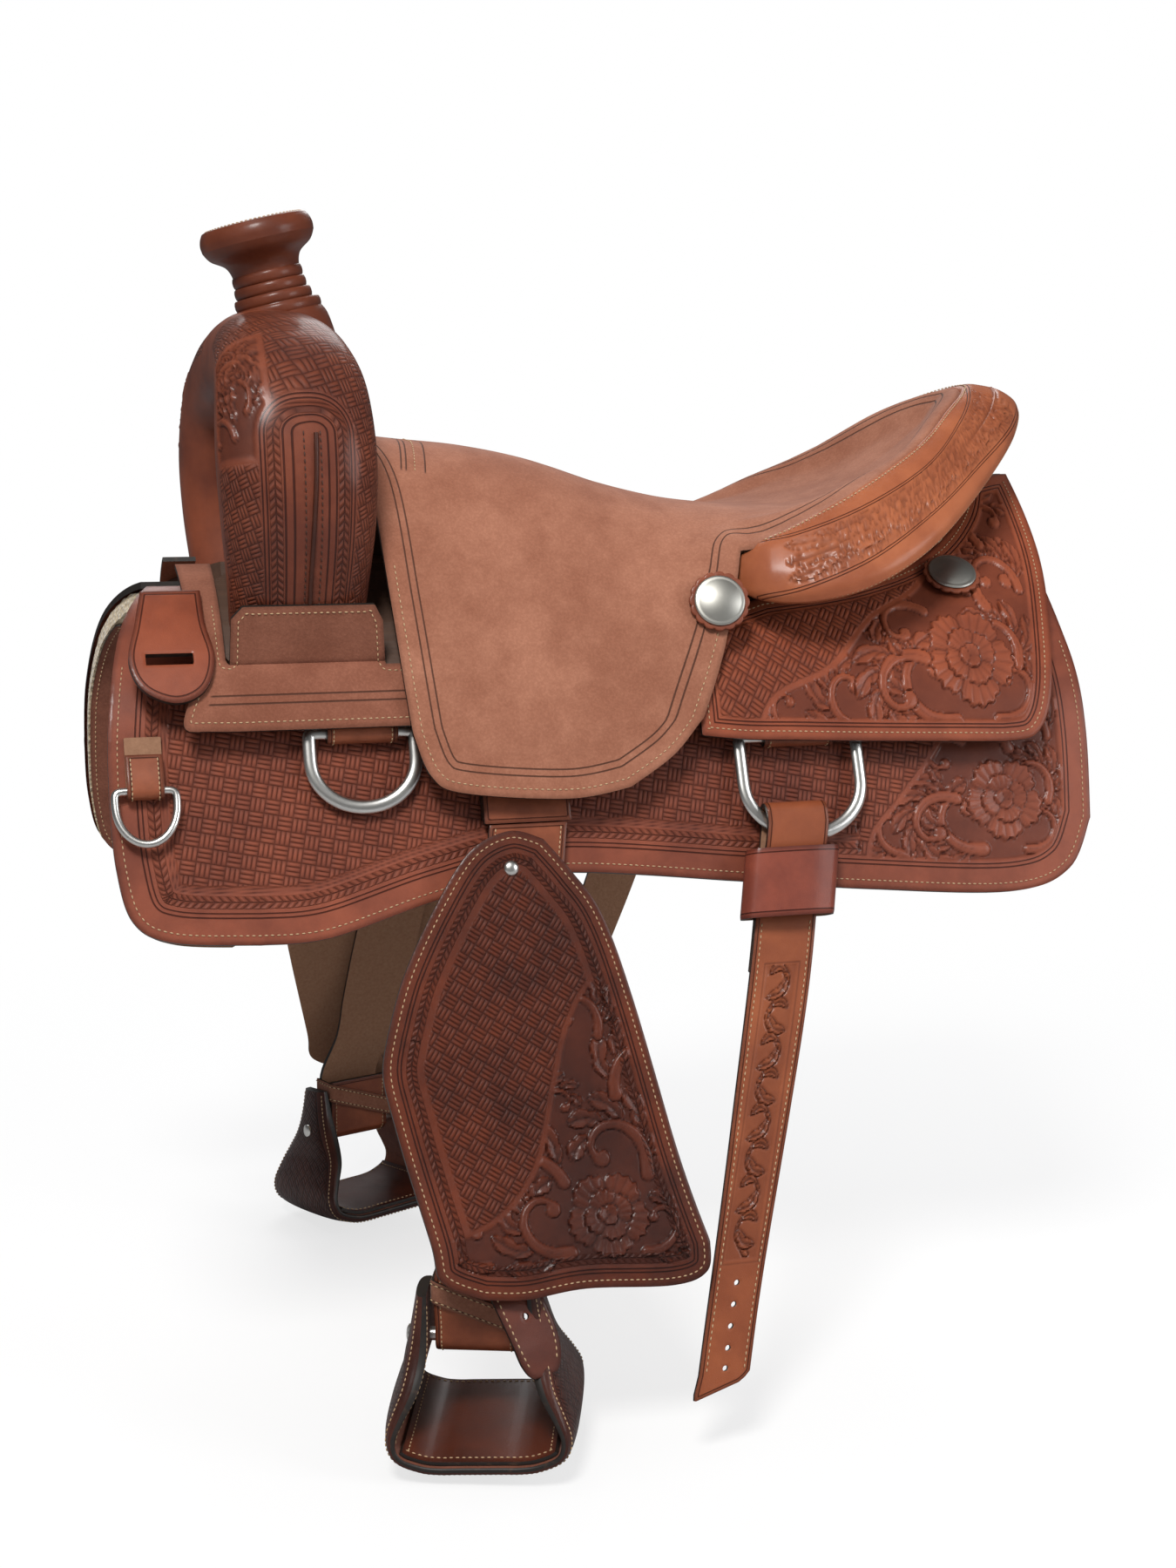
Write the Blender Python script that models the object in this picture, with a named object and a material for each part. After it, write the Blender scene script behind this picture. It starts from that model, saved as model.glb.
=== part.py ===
"""Western trail saddle, built from its separate leather, wood, fleece and metal pieces.

Metres, +Z up. The saddle faces -X and its near (left) side is at -Y. The origin
is on the ridge of the rack or back that carries it, under the middle.

Leather is drawn flat, as a pattern in (x, s), and then laid on the saddle: x
runs to the rear, s is the length down the side from the ridge, and h is the
height above the inner face of the skirts. Both sides share one pattern.
"""

import math

import bmesh
import bpy
from mathutils import Vector

# Driving dimensions of the seat of the saddle on the back
FLEECE = 0.012
BACK_RADIUS = 0.139
SIDE_ANGLE = math.radians(72)
ARC = BACK_RADIUS * SIDE_ANGLE
FACETS = 12
FACET = ARC / FACETS
REAR_RISE = 0.055
RISE_START = 0.20
RISE_LENGTH = 0.14
RISE_SPREAD = 0.12
RISE_LINES = (0.20, 0.22, 0.24, 0.26, 0.28, 0.30, 0.32)
SIDES = (("near", -1), ("off", 1))

# Heights of the layers above the skirt's inner face
GAP = 0.0003
SKIRT = 0.0055
BAR_UNDER = 0.006
BAR_TOP = 0.0222
JOCKEY_UNDER = 0.0228
JOCKEY = 0.0038
SEAT_UNDER = 0.0285
SEAT = 0.0035
STRAP_LOW = 0.0062
STRAP = 0.0045
PIVOT_UNDER = 0.0113
FENDER_UNDER = 0.0165
FENDER = 0.0040

# Fore and aft: the ends of the main pieces
BAR_FRONT = -0.306
BAR_REAR = 0.275
SWELL_X = -0.237
HORN_BASE = Vector((-0.228, 0, 0.196))
HORN_LEAN = math.radians(14)

# Where the moving leather turns, in (x, s)
SWING_X = -0.090
SWING_S = 0.215
LIFT_S = 0.240
BOLT_X = -0.145
BOLT_S = 0.578
BOLT_H = -0.019
STIRRUP_TURN = math.radians(20)
STIRRUP_TILT = math.radians(6)
STIRRUP_ROLL = math.radians(2.5)
BOLT_RADIUS = 0.0048

# Hardware
DEE_WIDE = 0.0045
DEE_THICK = 0.0026
REAR_DEE = (0.112, 0.186, 0.0128)
REAR_DEE_TILT = math.radians(4)
REAR_DEE_LEG = 0.035
REAR_DEE_BOW = 0.0375
FRONT_DEE = (-0.200, 0.172, 0.0128)
BILLET_HALF = 0.0225
BILLET = 0.0034
EAR_FOLD = 9 * FACET
CONCHO_RADIUS = 0.0180
ROSETTE_RADIUS = 0.0215


def clear_scene():
    for thing in list(bpy.data.objects):
        bpy.data.objects.remove(thing, do_unlink=True)


def material(name, colour, roughness, metallic=0.0):
    made = bpy.data.materials.new(name)
    made.use_nodes = True
    shader = made.node_tree.nodes["Principled BSDF"]
    shader.inputs["Base Color"].default_value = (*colour, 1.0)
    shader.inputs["Roughness"].default_value = roughness
    shader.inputs["Metallic"].default_value = metallic
    return made


clear_scene()
SMOOTH_LEATHER = material("smooth_leather", (0.26, 0.065, 0.024), 0.42)
DARK_LEATHER = material("dark_leather", (0.13, 0.034, 0.018), 0.42)
ROLL_LEATHER = material("roll_leather", (0.38, 0.11, 0.035), 0.40)
ROUGH_LEATHER = material("rough_leather", (0.36, 0.16, 0.10), 0.90)
STRAP_LEATHER = material("strap_leather", (0.30, 0.09, 0.035), 0.50)
FLEECE_WOOL = material("fleece_wool", (0.72, 0.64, 0.50), 0.95)
TREE_WOOD = material("tree_wood", (0.55, 0.40, 0.24), 0.75)
SILVER = material("bright_steel", (0.74, 0.74, 0.72), 0.28, 1.0)


def eased(t):
    t = min(1.0, max(0.0, t))
    return t * t * (3 - 2 * t)


def between(low, high, t):
    return low + (high - low) * t


def knot_value(knots, at):
    """The value at one place of a smooth line through (place, value) knots."""
    places = [k[0] for k in knots]
    values = [k[1] for k in knots]
    if at <= places[0]:
        return values[0]
    if at >= places[-1]:
        return values[-1]
    i = max(k for k in range(len(places) - 1) if places[k] <= at)

    def slope(k):
        low = max(k - 1, 0)
        high = min(k + 1, len(places) - 1)
        return (values[high] - values[low]) / (places[high] - places[low])

    wide = places[i + 1] - places[i]
    t = (at - places[i]) / wide
    start = values[i] * (1 + 2 * t) * (1 - t) ** 2 + slope(i) * wide * t * (1 - t) ** 2
    end = values[i + 1] * t * t * (3 - 2 * t) + slope(i + 1) * wide * t * t * (t - 1)
    return start + end


def spline(points, steps=4):
    """Points on a smooth line through the given ones, ends included."""
    knots = [Vector(p) for p in points]
    line = []
    for i in range(len(knots) - 1):
        a = knots[max(i - 1, 0)]
        b = knots[i]
        c = knots[i + 1]
        d = knots[min(i + 2, len(knots) - 1)]
        for k in range(steps):
            t = k / steps
            bend = (2 * a - 5 * b + 4 * c - d) * t * t + (3 * b - a - 3 * c + d) * t**3
            line.append(b + ((c - a) * t + bend) / 2)
    line.append(knots[-1])
    return line


def rise(x, s):
    """How far the rear of the skirts and jockeys climbs behind the cantle."""
    along = eased((x - RISE_START) / RISE_LENGTH)
    across = max(0.0, 1 - s / RISE_SPREAD) ** 1.7
    return REAR_RISE * along * across


def lay(x, s, h):
    """Pattern to space, for the near side as if it were at +Y."""
    radius = BACK_RADIUS + h
    fold = min(int(s / FACET), FACETS - 1)
    low = fold * FACET / BACK_RADIUS
    high = (fold + 1) * FACET / BACK_RADIUS
    part = min((s - fold * FACET) / FACET, 1.0)
    y = radius * between(math.sin(low), math.sin(high), part)
    z = radius * between(math.cos(low), math.cos(high), part)
    past = max(0.0, s - ARC)
    y += past * math.cos(SIDE_ANGLE)
    z -= past * math.sin(SIDE_ANGLE)
    return Vector((x, y, z - BACK_RADIUS + FLEECE + rise(x, s)))


def sided(point, side):
    return Vector((point.x, side * point.y, point.z))


def solid(name, points, faces, finish, pivot=None, smooth=40):
    """A closed mesh object, with its origin at its pivot where it has one."""
    centre = Vector(pivot) if pivot is not None else Vector((0, 0, 0))
    mesh = bpy.data.meshes.new(name)
    mesh.from_pydata([p - centre for p in points], [], faces)
    shape = bmesh.new()
    shape.from_mesh(mesh)
    bmesh.ops.recalc_face_normals(shape, faces=shape.faces)
    shape.to_mesh(mesh)
    shape.free()
    mesh.shade_smooth()
    mesh.set_sharp_from_angle(angle=math.radians(smooth))
    mesh.materials.append(finish)
    made = bpy.data.objects.new(name, mesh)
    made.location = centre
    bpy.context.scene.collection.objects.link(made)
    return made


def sheet(name, outline, under, thickness, finish, side, surface=lay, pivot=None, bends=()):
    """Leather of one thickness, cut to an outline and laid on the saddle."""
    flat = bmesh.new()
    flat.faces.new([flat.verts.new((p[0], p[1], 0)) for p in outline])
    folds = [((0, k * FACET, 0), (0, 1, 0)) for k in range(1, FACETS + 1)]
    folds += [((x, 0, 0), (1, 0, 0)) for x in RISE_LINES]
    folds += [((0, s, 0), (0, 1, 0)) for s in bends]
    for place, across in folds:
        everything = flat.verts[:] + flat.edges[:] + flat.faces[:]
        bmesh.ops.bisect_plane(flat, geom=everything, dist=1e-6, plane_co=place, plane_no=across)
    bmesh.ops.triangulate(flat, faces=flat.faces[:], quad_method="FIXED")
    flat.verts.index_update()
    count = len(flat.verts)
    points = []
    for step in (0.0, thickness):
        for v in flat.verts:
            x, s = v.co.x, v.co.y
            points.append(sided(surface(x, s, under(x, s) + step), side))
    faces = []
    for face in flat.faces:
        loop = [v.index for v in face.verts]
        faces.append(loop)
        faces.append([i + count for i in reversed(loop)])
    for edge in flat.edges:
        if edge.is_boundary:
            a, b = (v.index for v in edge.verts)
            faces.append([a, b, b + count])
            faces.append([a, b + count, a + count])
    flat.free()
    return solid(name, points, faces, finish, pivot)


def loft(name, rings, finish, closed=False, pivot=None, smooth=40):
    """A solid through rings of equal length, capped unless it runs round."""
    size = len(rings[0])
    points = [p for ring in rings for p in ring]
    spans = len(rings) if closed else len(rings) - 1
    faces = []
    for i in range(spans):
        a = i * size
        b = ((i + 1) % len(rings)) * size
        for k in range(size):
            n = (k + 1) % size
            faces.append([a + k, a + n, b + n, b + k])
    if not closed:
        faces.append(list(range(size)))
        faces.append([len(points) - size + k for k in reversed(range(size))])
    return solid(name, points, faces, finish, pivot, smooth)


def sleeve(name, outer, inner, finish, pivot=None):
    """An open-ended shell between two equal lofts."""
    size = len(outer[0])
    points = [p for ring in outer for p in ring]
    points += [p for ring in inner for p in ring]
    shift = len(outer) * size
    faces = []
    for i in range(len(outer) - 1):
        for k in range(size):
            n = (k + 1) % size
            quad = [i * size + k, i * size + n, (i + 1) * size + n, (i + 1) * size + k]
            faces.append(quad)
            faces.append([shift + q for q in reversed(quad)])
    for start in (0, shift - size):
        for k in range(size):
            n = (k + 1) % size
            faces.append([start + k, start + n, shift + start + n, shift + start + k])
    return solid(name, points, faces, finish, pivot)


def turned(name, profile, base, axis, finish, segments=20, pivot=None, smooth=40):
    """A round piece from a closed (radius, height) profile about an axis."""
    turn = Vector((0, 0, 1)).rotation_difference(axis).to_matrix()
    points = []
    for k in range(segments):
        angle = 2 * math.pi * k / segments
        for radius, height in profile:
            flat = Vector((radius * math.cos(angle), radius * math.sin(angle), height))
            points.append(Vector(base) + turn @ flat)
    size = len(profile)
    faces = []
    for k in range(segments):
        here = k * size
        there = ((k + 1) % segments) * size
        for i in range(size):
            n = (i + 1) % size
            faces.append([here + i, here + n, there + n, there + i])
    made = solid(name, points, faces, finish, pivot, smooth)
    shape = bmesh.new()
    shape.from_mesh(made.data)
    bmesh.ops.remove_doubles(shape, verts=shape.verts, dist=1e-5)
    bmesh.ops.dissolve_degenerate(shape, edges=shape.edges, dist=1e-6)
    bmesh.ops.recalc_face_normals(shape, faces=shape.faces)
    shape.to_mesh(made.data)
    shape.free()
    return made


def cut(target, cutter):
    cutter.hide_render = True
    cutter.display_type = "WIRE"
    taken = target.modifiers.new("cut", "BOOLEAN")
    taken.operation = "DIFFERENCE"
    taken.object = cutter


def level(height):
    """A pattern laid at one height all over."""
    return lambda x, s: height


def trimmed(outline, inset):
    """The same outline, cut back by an even margin."""
    points = [Vector((p[0], p[1])) for p in outline]
    count = len(points)
    turn = sum(points[i].cross(points[(i + 1) % count]) for i in range(count))
    inward = inset if turn > 0 else -inset
    cut_back = []
    for i in range(count):
        along = points[(i + 1) % count] - points[i - 1]
        normal = Vector((-along.y, along.x)).normalized()
        cut_back.append(points[i] + normal * inward)
    return cut_back


def skirt_outline():
    front = spline([(-0.330, 0.024), (-0.354, 0.090), (-0.366, 0.160), (-0.368, 0.212)], 3)
    lobe = spline([(-0.368, 0.212), (-0.366, 0.255), (-0.357, 0.291), (-0.332, 0.306), (-0.275, 0.311)])
    belly = spline([(-0.275, 0.311), (-0.228, 0.309), (-0.150, 0.287), (-0.070, 0.274), (0.062, 0.287)])
    hem = spline([(0.062, 0.287), (0.159, 0.298), (0.270, 0.306), (0.318, 0.292), (0.340, 0.255)])
    rear = spline([(0.340, 0.255), (0.345, 0.190), (0.343, 0.110), (0.338, 0.024)], 3)
    return front[:-1] + lobe[:-1] + belly[:-1] + hem[:-1] + rear


def make_skirts():
    outline = skirt_outline()
    for word, side in SIDES:
        sheet(f"skirt_{word}", outline, level(0.0), SKIRT, SMOOTH_LEATHER, side)
        lining = trimmed(outline, 0.005)
        sheet(f"fleece_{word}", lining, level(-FLEECE), FLEECE - GAP, FLEECE_WOOL, side)


def bar_outline():
    lower = spline([(BAR_FRONT, 0.075), (-0.285, 0.128), (-0.200, 0.137), (-0.060, 0.112), (0.080, 0.118)])
    rear = spline([(0.080, 0.118), (0.190, 0.136), (0.262, 0.118), (BAR_REAR, 0.070)])
    upper = spline([(BAR_REAR, 0.070), (0.250, 0.036), (0.080, 0.040), (-0.100, 0.050), (-0.270, 0.040)])
    return lower[:-1] + rear[:-1] + upper


def make_tree_bars():
    for word, side in SIDES:
        thickness = BAR_TOP - BAR_UNDER
        sheet(f"tree_bar_{word}", bar_outline(), level(BAR_UNDER), thickness, TREE_WOOD, side)


# The fork's centre line at one side: across, height, half length, half thickness
FORK_LINE = (
    (0.100, -0.022, 0.044, 0.0240),
    (0.117, 0.020, 0.047, 0.0280),
    (0.127, 0.062, 0.051, 0.0310),
    (0.124, 0.104, 0.053, 0.0330),
    (0.106, 0.142, 0.051, 0.0340),
    (0.072, 0.162, 0.047, 0.0345),
    (0.034, 0.170, 0.044, 0.0350),
    (0.000, 0.172, 0.043, 0.0355),
)


def fork_rings(grow, spread=12):
    """Rounded sections of the fork from the near foot over to the off foot."""
    rows = [Vector(row) for row in FORK_LINE]
    line = spline(rows, 2)
    line += [Vector((-p[0], p[1], p[2], p[3])) for p in reversed(line[:-1])]
    rings = []
    for i, row in enumerate(line):
        before = line[max(i - 1, 0)]
        after = line[min(i + 1, len(line) - 1)]
        along = Vector((before[0] - after[0], after[1] - before[1])).normalized()
        out = Vector((-along.y, along.x))
        ring = []
        for k in range(spread):
            angle = 2 * math.pi * k / spread
            length = (row[2] + grow) * math.copysign(abs(math.cos(angle)) ** 0.8, math.cos(angle))
            thick = (row[3] + grow) * math.copysign(abs(math.sin(angle)) ** 0.8, math.sin(angle))
            y = -row[0] + out.x * thick
            z = row[1] + out.y * thick
            ring.append(Vector((SWELL_X + length, y, z)))
        rings.append(ring)
    return rings


def bar_cutter(word, side):
    outline = [(-0.33, 0.02), (-0.33, 0.17), (-0.14, 0.17), (-0.14, 0.02)]
    return sheet(f"bar_room_{word}", outline, level(-0.03), BAR_TOP + 0.03 + GAP, TREE_WOOD, side)


def make_fork():
    """The wooden fork, the swell leather round it, and the horn on top."""
    fork = loft("tree_fork", fork_rings(-0.0036), TREE_WOOD)
    cover = sleeve("swell_cover", fork_rings(0.0), fork_rings(-0.0030), SMOOTH_LEATHER)
    for word, side in SIDES:
        room = bar_cutter(word, side)
        cut(fork, room)
        cut(cover, room)
    axis = Vector((-math.sin(HORN_LEAN), 0, math.cos(HORN_LEAN)))
    post_radius = 0.0150
    hole = [(0, -0.030), (post_radius + GAP, -0.030), (post_radius + GAP, 0.060), (0, 0.060)]
    cut(cover, turned("post_hole", hole, HORN_BASE, axis, SILVER, 16))
    post = [(0, -0.030), (post_radius, -0.030), (post_radius, 0.056), (0.032, 0.060), (0.032, 0.068), (0, 0.070)]
    core = turned("horn_core", post, HORN_BASE, axis, SILVER, 16)
    cut(core, loft("fork_room", fork_rings(-0.0036 + GAP), TREE_WOOD))
    outside = [(0.036, -0.016), (0.034, 0.004), (0.0265, 0.018), (0.0235, 0.034), (0.0260, 0.046)]
    outside += [(0.0360, 0.053), (0.0400, 0.060), (0.0400, 0.068), (0.0360, 0.0745), (0, 0.0745)]
    inside = [(0, 0.0712), (0.0326, 0.0688), (0.0326, 0.0592), (0.0156, 0.0552), (0.0156, -0.016)]
    wrap = turned("horn_wrap", outside + inside, HORN_BASE, axis, SMOOTH_LEATHER, 20)
    cut(wrap, loft("swell_room", fork_rings(GAP), TREE_WOOD))


# Sections of the seat from front to rear: x, then the outer height at the
# middle line and at 50, 90 and 130 mm to the side
SEAT_SECTIONS = (
    (-0.205, (0.124, 0.118, 0.092, 0.018)),
    (-0.150, (0.118, 0.112, 0.084, 0.012)),
    (-0.100, (0.113, 0.106, 0.075, 0.008)),
    (-0.050, (0.103, 0.096, 0.066, 0.005)),
    (0.000, (0.087, 0.081, 0.056, 0.006)),
    (0.050, (0.075, 0.071, 0.055, 0.022)),
    (0.090, (0.070, 0.069, 0.062, 0.043)),
    (0.116, (0.068, 0.068, 0.065, 0.056)),
    (0.163, (0.070, 0.072, 0.076, 0.080)),
    (0.224, (0.094, 0.097, 0.108, 0.125)),
    (0.272, (0.130, 0.142, 0.158, 0.178)),
    (0.305, (0.158, 0.172, 0.190, 0.210)),
)
SEAT_STATIONS = (0.0, 0.050, 0.090, 0.130, ARC)


def seat_curve(x, g):
    """The seat's underside before its thickness, as (y, z)."""
    if g >= ARC:
        edge = lay(x, g, SEAT_UNDER)
        return Vector((edge.y, edge.z))
    low = lay(x, ARC, SEAT_UNDER)
    heights = [knot_value([(row[0], row[1][k]) for row in SEAT_SECTIONS], x) - SEAT for k in range(4)]
    heights.append(low.z)
    widths = (0.0, 0.050, 0.0895, 0.1275, low.y)
    y = knot_value(list(zip(SEAT_STATIONS, widths)), g)
    z = knot_value(list(zip(SEAT_STATIONS, heights)), g)
    return Vector((y, z))


def on_seat(x, g, h):
    """A point h above the seat's underside, along the seat's own normal."""
    step = 0.002
    here = seat_curve(x, g)
    if h == 0:
        return Vector((x, here.x, here.y))
    across = seat_curve(x, g + step) - seat_curve(x, max(g - step, -step) if g > 0 else 0)
    if g <= 0:
        across = Vector((1, 0))
    front = seat_curve(x - step, g)
    rear = seat_curve(x + step, g)
    along = Vector((2 * step, rear.x - front.x, rear.y - front.y))
    normal = along.cross(Vector((0, across.x, across.y))).normalized()
    return Vector((x, here.x, here.y)) + normal * h


# The cantle roll's inner and outer edges on one side, front tip to rear middle
ROLL_INNER = (
    (0.070, 0.119, 0.028),
    (0.090, 0.125, 0.044),
    (0.116, 0.129, 0.056),
    (0.163, 0.124, 0.079),
    (0.224, 0.095, 0.111),
    (0.262, 0.062, 0.137),
    (0.287, 0.032, 0.150),
    (0.300, 0.000, 0.155),
)
ROLL_OUTER = (
    (0.072, 0.124, 0.017),
    (0.084, 0.138, 0.006),
    (0.116, 0.158, 0.004),
    (0.160, 0.167, 0.015),
    (0.212, 0.152, 0.041),
    (0.268, 0.112, 0.080),
    (0.320, 0.060, 0.120),
    (0.346, 0.000, 0.142),
)
# The foot of the cantle on the bars, front tip to rear middle
CANTLE_FOOT = (
    (0.090, 0.090),
    (0.112, 0.093),
    (0.156, 0.088),
    (0.206, 0.068),
    (0.240, 0.045),
    (0.262, 0.022),
    (0.272, 0.000),
)


def both_sides(knots):
    """A smooth line from one front tip over the rear middle to the other."""
    near = [Vector(knot) for knot in knots]
    other = [Vector((p.x, -p.y, p.z)) for p in reversed(near[:-1])]
    return spline(near + other, 3)


def seat_outline():
    front = [(-0.200, 0.0), (-0.192, 0.050), (-0.182, 0.095), (-0.176, 0.135), (-0.168, 0.180)]
    flap = [(-0.168, 0.180), (-0.158, 0.208), (-0.137, 0.220), (-0.064, 0.227), (-0.020, 0.221)]
    rear = [(-0.020, 0.221), (0.013, 0.200), (0.036, 0.176), (0.056, 0.155), (0.066, 0.136)]
    inner = both_sides(ROLL_INNER)
    half = len(inner) // 2
    dish = [(p.x - 0.0028, p.y * 1.015 - 0.0030) for p in inner[1:half]]
    last = (ROLL_INNER[-1][0] - 0.0040, 0.0)
    return [tuple(p) for p in spline(front, 2)[:-1] + spline(flap, 4)[:-1] + spline(rear, 3)] + dish + [last]


def mirrored_sheet(name, outline, lift, thickness, finish, fine):
    """A seat layer that crosses the middle line, in one piece."""
    half = [p for p in outline if p[1] > 0]
    whole = [outline[0]] + half + [outline[-1]] + [(x, -g) for x, g in reversed(half)]

    def both(x, g, h):
        made = on_seat(x, abs(g), h)
        return made if g >= 0 else sided(made, -1)

    flat = bmesh.new()
    flat.faces.new([flat.verts.new((p[0], p[1], 0)) for p in whole])
    across = [k * fine for k in range(-11, 12)]
    along = [-0.16 + 2.5 * fine * k for k in range(12)]
    lines = [((0, g, 0), (0, 1, 0)) for g in across] + [((x, 0, 0), (1, 0, 0)) for x in along]
    for place, way in lines:
        everything = flat.verts[:] + flat.edges[:] + flat.faces[:]
        bmesh.ops.bisect_plane(flat, geom=everything, dist=1e-6, plane_co=place, plane_no=way)
    bmesh.ops.triangulate(flat, faces=flat.faces[:])
    flat.verts.index_update()
    count = len(flat.verts)
    points = [both(v.co.x, v.co.y, lift) for v in flat.verts]
    points += [both(v.co.x, v.co.y, lift + thickness) for v in flat.verts]
    faces = []
    for face in flat.faces:
        loop = [v.index for v in face.verts]
        faces.append(loop)
        faces.append([i + count for i in reversed(loop)])
    for edge in flat.edges:
        if edge.is_boundary:
            a, b = (v.index for v in edge.verts)
            faces.append([a, b, b + count, a + count])
    flat.free()
    return solid(name, points, faces, finish)


def make_seat():
    outline = seat_outline()
    mirrored_sheet("seat_leather", outline, 0.0, SEAT, ROUGH_LEATHER, 0.016)
    strainer = [(-0.175, 0.0), (-0.170, 0.118), (0.060, 0.112), (0.150, 0.108), (0.215, 0.080), (0.262, 0.035), (0.275, 0.0)]
    mirrored_sheet("ground_seat", strainer, -0.0110, 0.0055, TREE_WOOD, 0.020)


def make_cantle():
    """The wooden cantle, the leather on its back, and the broad roll on its rim."""
    inner = both_sides(ROLL_INNER)
    outer = both_sides(ROLL_OUTER)
    rings = []
    for i, (a, b) in enumerate(zip(inner, outer)):
        end = min(i, len(inner) - 1 - i)
        body = eased(end / 5)
        across = b - a
        around = inner[min(i + 1, len(inner) - 1)] - inner[max(i - 1, 0)]
        up = around.cross(across).normalized()
        if up.z < 0:
            up = -up
        crown = between(0.0012, 0.0095, body)
        belly = between(0.0012, 0.0080, body)
        edge = between(0.0010, 0.0024, body)
        ring = [a + up * edge, a + across * 0.3 + up * crown * 0.85, a + across * 0.62 + up * crown]
        ring += [a + across * 0.88 + up * crown * 0.7, b + up * edge, b - up * edge]
        ring += [a + across * 0.85 - up * belly, a + across * 0.5 - up * belly * 0.7, a - up * edge]
        rings.append(ring)
    loft("cantle_roll", rings, ROLL_LEATHER, smooth=50)
    make_cantle_wall(inner[3:-3], outer[3:-3])


def make_cantle_wall(inner, outer):
    foot = both_sides([(x, y, 0) for x, y in CANTLE_FOOT])
    board = []
    back = []
    for i, (a, b) in enumerate(zip(inner, outer)):
        f = foot[i]
        s = BACK_RADIUS * math.asin(min(0.9, abs(f.y) / (BACK_RADIUS + BAR_TOP)))
        height = lay(f.x, s, JOCKEY_UNDER + 0.0012).z
        run = foot[min(i + 1, len(foot) - 1)] - foot[max(i - 1, 0)]
        out = Vector((-run.y, run.x, 0)).normalized()
        if out.x < 0:
            out = -out
        across = b - a
        low = Vector((f.x, f.y, height))
        top_in = a + across * 0.10 - Vector((0, 0, 0.0125))
        top_out = a + across * 0.42 - Vector((0, 0, 0.0185))
        low_out = low + out * 0.011
        board.append([top_in, top_out, low_out, low])
        climb = top_out - low_out
        face = climb.cross(Vector((run.x, run.y, 0))).normalized()
        if face.dot(out) < 0:
            face = -face
        skin = face * 0.0030
        low_skin = low_out + climb * 0.12 + face * 0.0022
        top_skin = low_out + climb * 0.90 + face * 0.0022
        back.append([top_skin, top_skin + skin, low_skin + skin, low_skin])
    loft("tree_cantle", board, TREE_WOOD)
    loft("cantle_back", back[4:-4], SMOOTH_LEATHER)


def rear_jockey_outline():
    hem = spline([(0.037, 0.186), (0.070, 0.190), (0.110, 0.192), (0.170, 0.195), (0.268, 0.199)], 3)
    corner = spline([(0.268, 0.199), (0.292, 0.195), (0.307, 0.172), (0.319, 0.126), (0.334, 0.070), (0.342, 0.004)], 3)
    top = spline([(0.306, 0.004), (0.292, 0.030), (0.268, 0.055), (0.232, 0.075), (0.172, 0.096), (0.100, 0.107)], 2)
    front = [(0.037, 0.116)]
    return hem[:-1] + corner + top + [Vector(p) for p in front]


def front_jockey_outline():
    hem = spline([(-0.309, 0.143), (-0.319, 0.168), (-0.300, 0.1715), (-0.248, 0.1720), (-0.165, 0.172)], 3)
    ear = [(-0.140, 0.165), (-0.140, 0.134), (-0.181, 0.134), (-0.184, 0.100), (-0.190, 0.0885)]
    ear += [(-0.278, 0.0885), (-0.2855, 0.097), (-0.2860, EAR_FOLD)]
    front = [(-0.2885, EAR_FOLD), (-0.288, 0.040), (-0.312, 0.040)]
    return hem + [Vector(p) for p in ear + front]


def on_swell(x, s, h):
    """The front jockey: laid on the saddle, but its ear climbs the foot of the swell."""
    if s >= EAR_FOLD or x < -0.287:
        return lay(x, s, h)
    foot = lay(x, EAR_FOLD, JOCKEY_UNDER)
    climb = Vector((0, 0.281, 0.960))
    away = Vector((0, 0.960, -0.281))
    return foot + climb * (EAR_FOLD - s) + away * (h - JOCKEY_UNDER)


def make_jockeys():
    for word, side in SIDES:
        sheet(f"rear_jockey_{word}", rear_jockey_outline(), level(JOCKEY_UNDER), JOCKEY, SMOOTH_LEATHER, side)
        front = front_jockey_outline()
        sheet(f"front_jockey_{word}", front, level(JOCKEY_UNDER), JOCKEY, ROUGH_LEATHER, side, on_swell)


def ribbon(name, rows, thickness, finish, side, pivot=None):
    """A strap through rows of (left x, left s, right x, right s, h)."""
    rings = []
    for i, row in enumerate(rows):
        before = rows[max(i - 1, 0)]
        after = rows[min(i + 1, len(rows) - 1)]
        along = Vector((after[1] + after[3] - before[1] - before[3], 2 * (after[4] - before[4]))).normalized()
        out = Vector((-along.y, along.x)) * thickness / 2
        ring = []
        for x, s, way in ((row[0], row[1], 1), (row[2], row[3], 1), (row[2], row[3], -1), (row[0], row[1], -1)):
            ring.append(sided(lay(x, s + way * out.x, row[4] + way * out.y), side))
        rings.append(ring)
    return loft(name, rings, finish, pivot=pivot)


def make_rigging():
    """The leather that carries the rear and front dees, folded round their bars."""
    for word, side in SIDES:
        for end, place, half in (("rear", REAR_DEE, 0.026), ("front", FRONT_DEE, 0.024)):
            x, s, h = place
            radius = 0.0055
            line = [(s - 0.028, STRAP_LOW + 0.0016), (s - 0.012, STRAP_LOW + 0.0016)]
            for k in range(7):
                angle = -math.pi / 2 + math.pi * k / 6
                line.append((s + radius * math.cos(angle) * 1.25, h + radius * math.sin(angle)))
            line += [(s - 0.012, h + radius - 0.0006), (s - 0.022, STRAP_LOW + 0.0062)]
            rows = [(x - half, p[0], x + half, p[0], p[1]) for p in line]
            ribbon(f"{end}_rigging_{word}", rows, 0.0026, STRAP_LEATHER, side)


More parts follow.
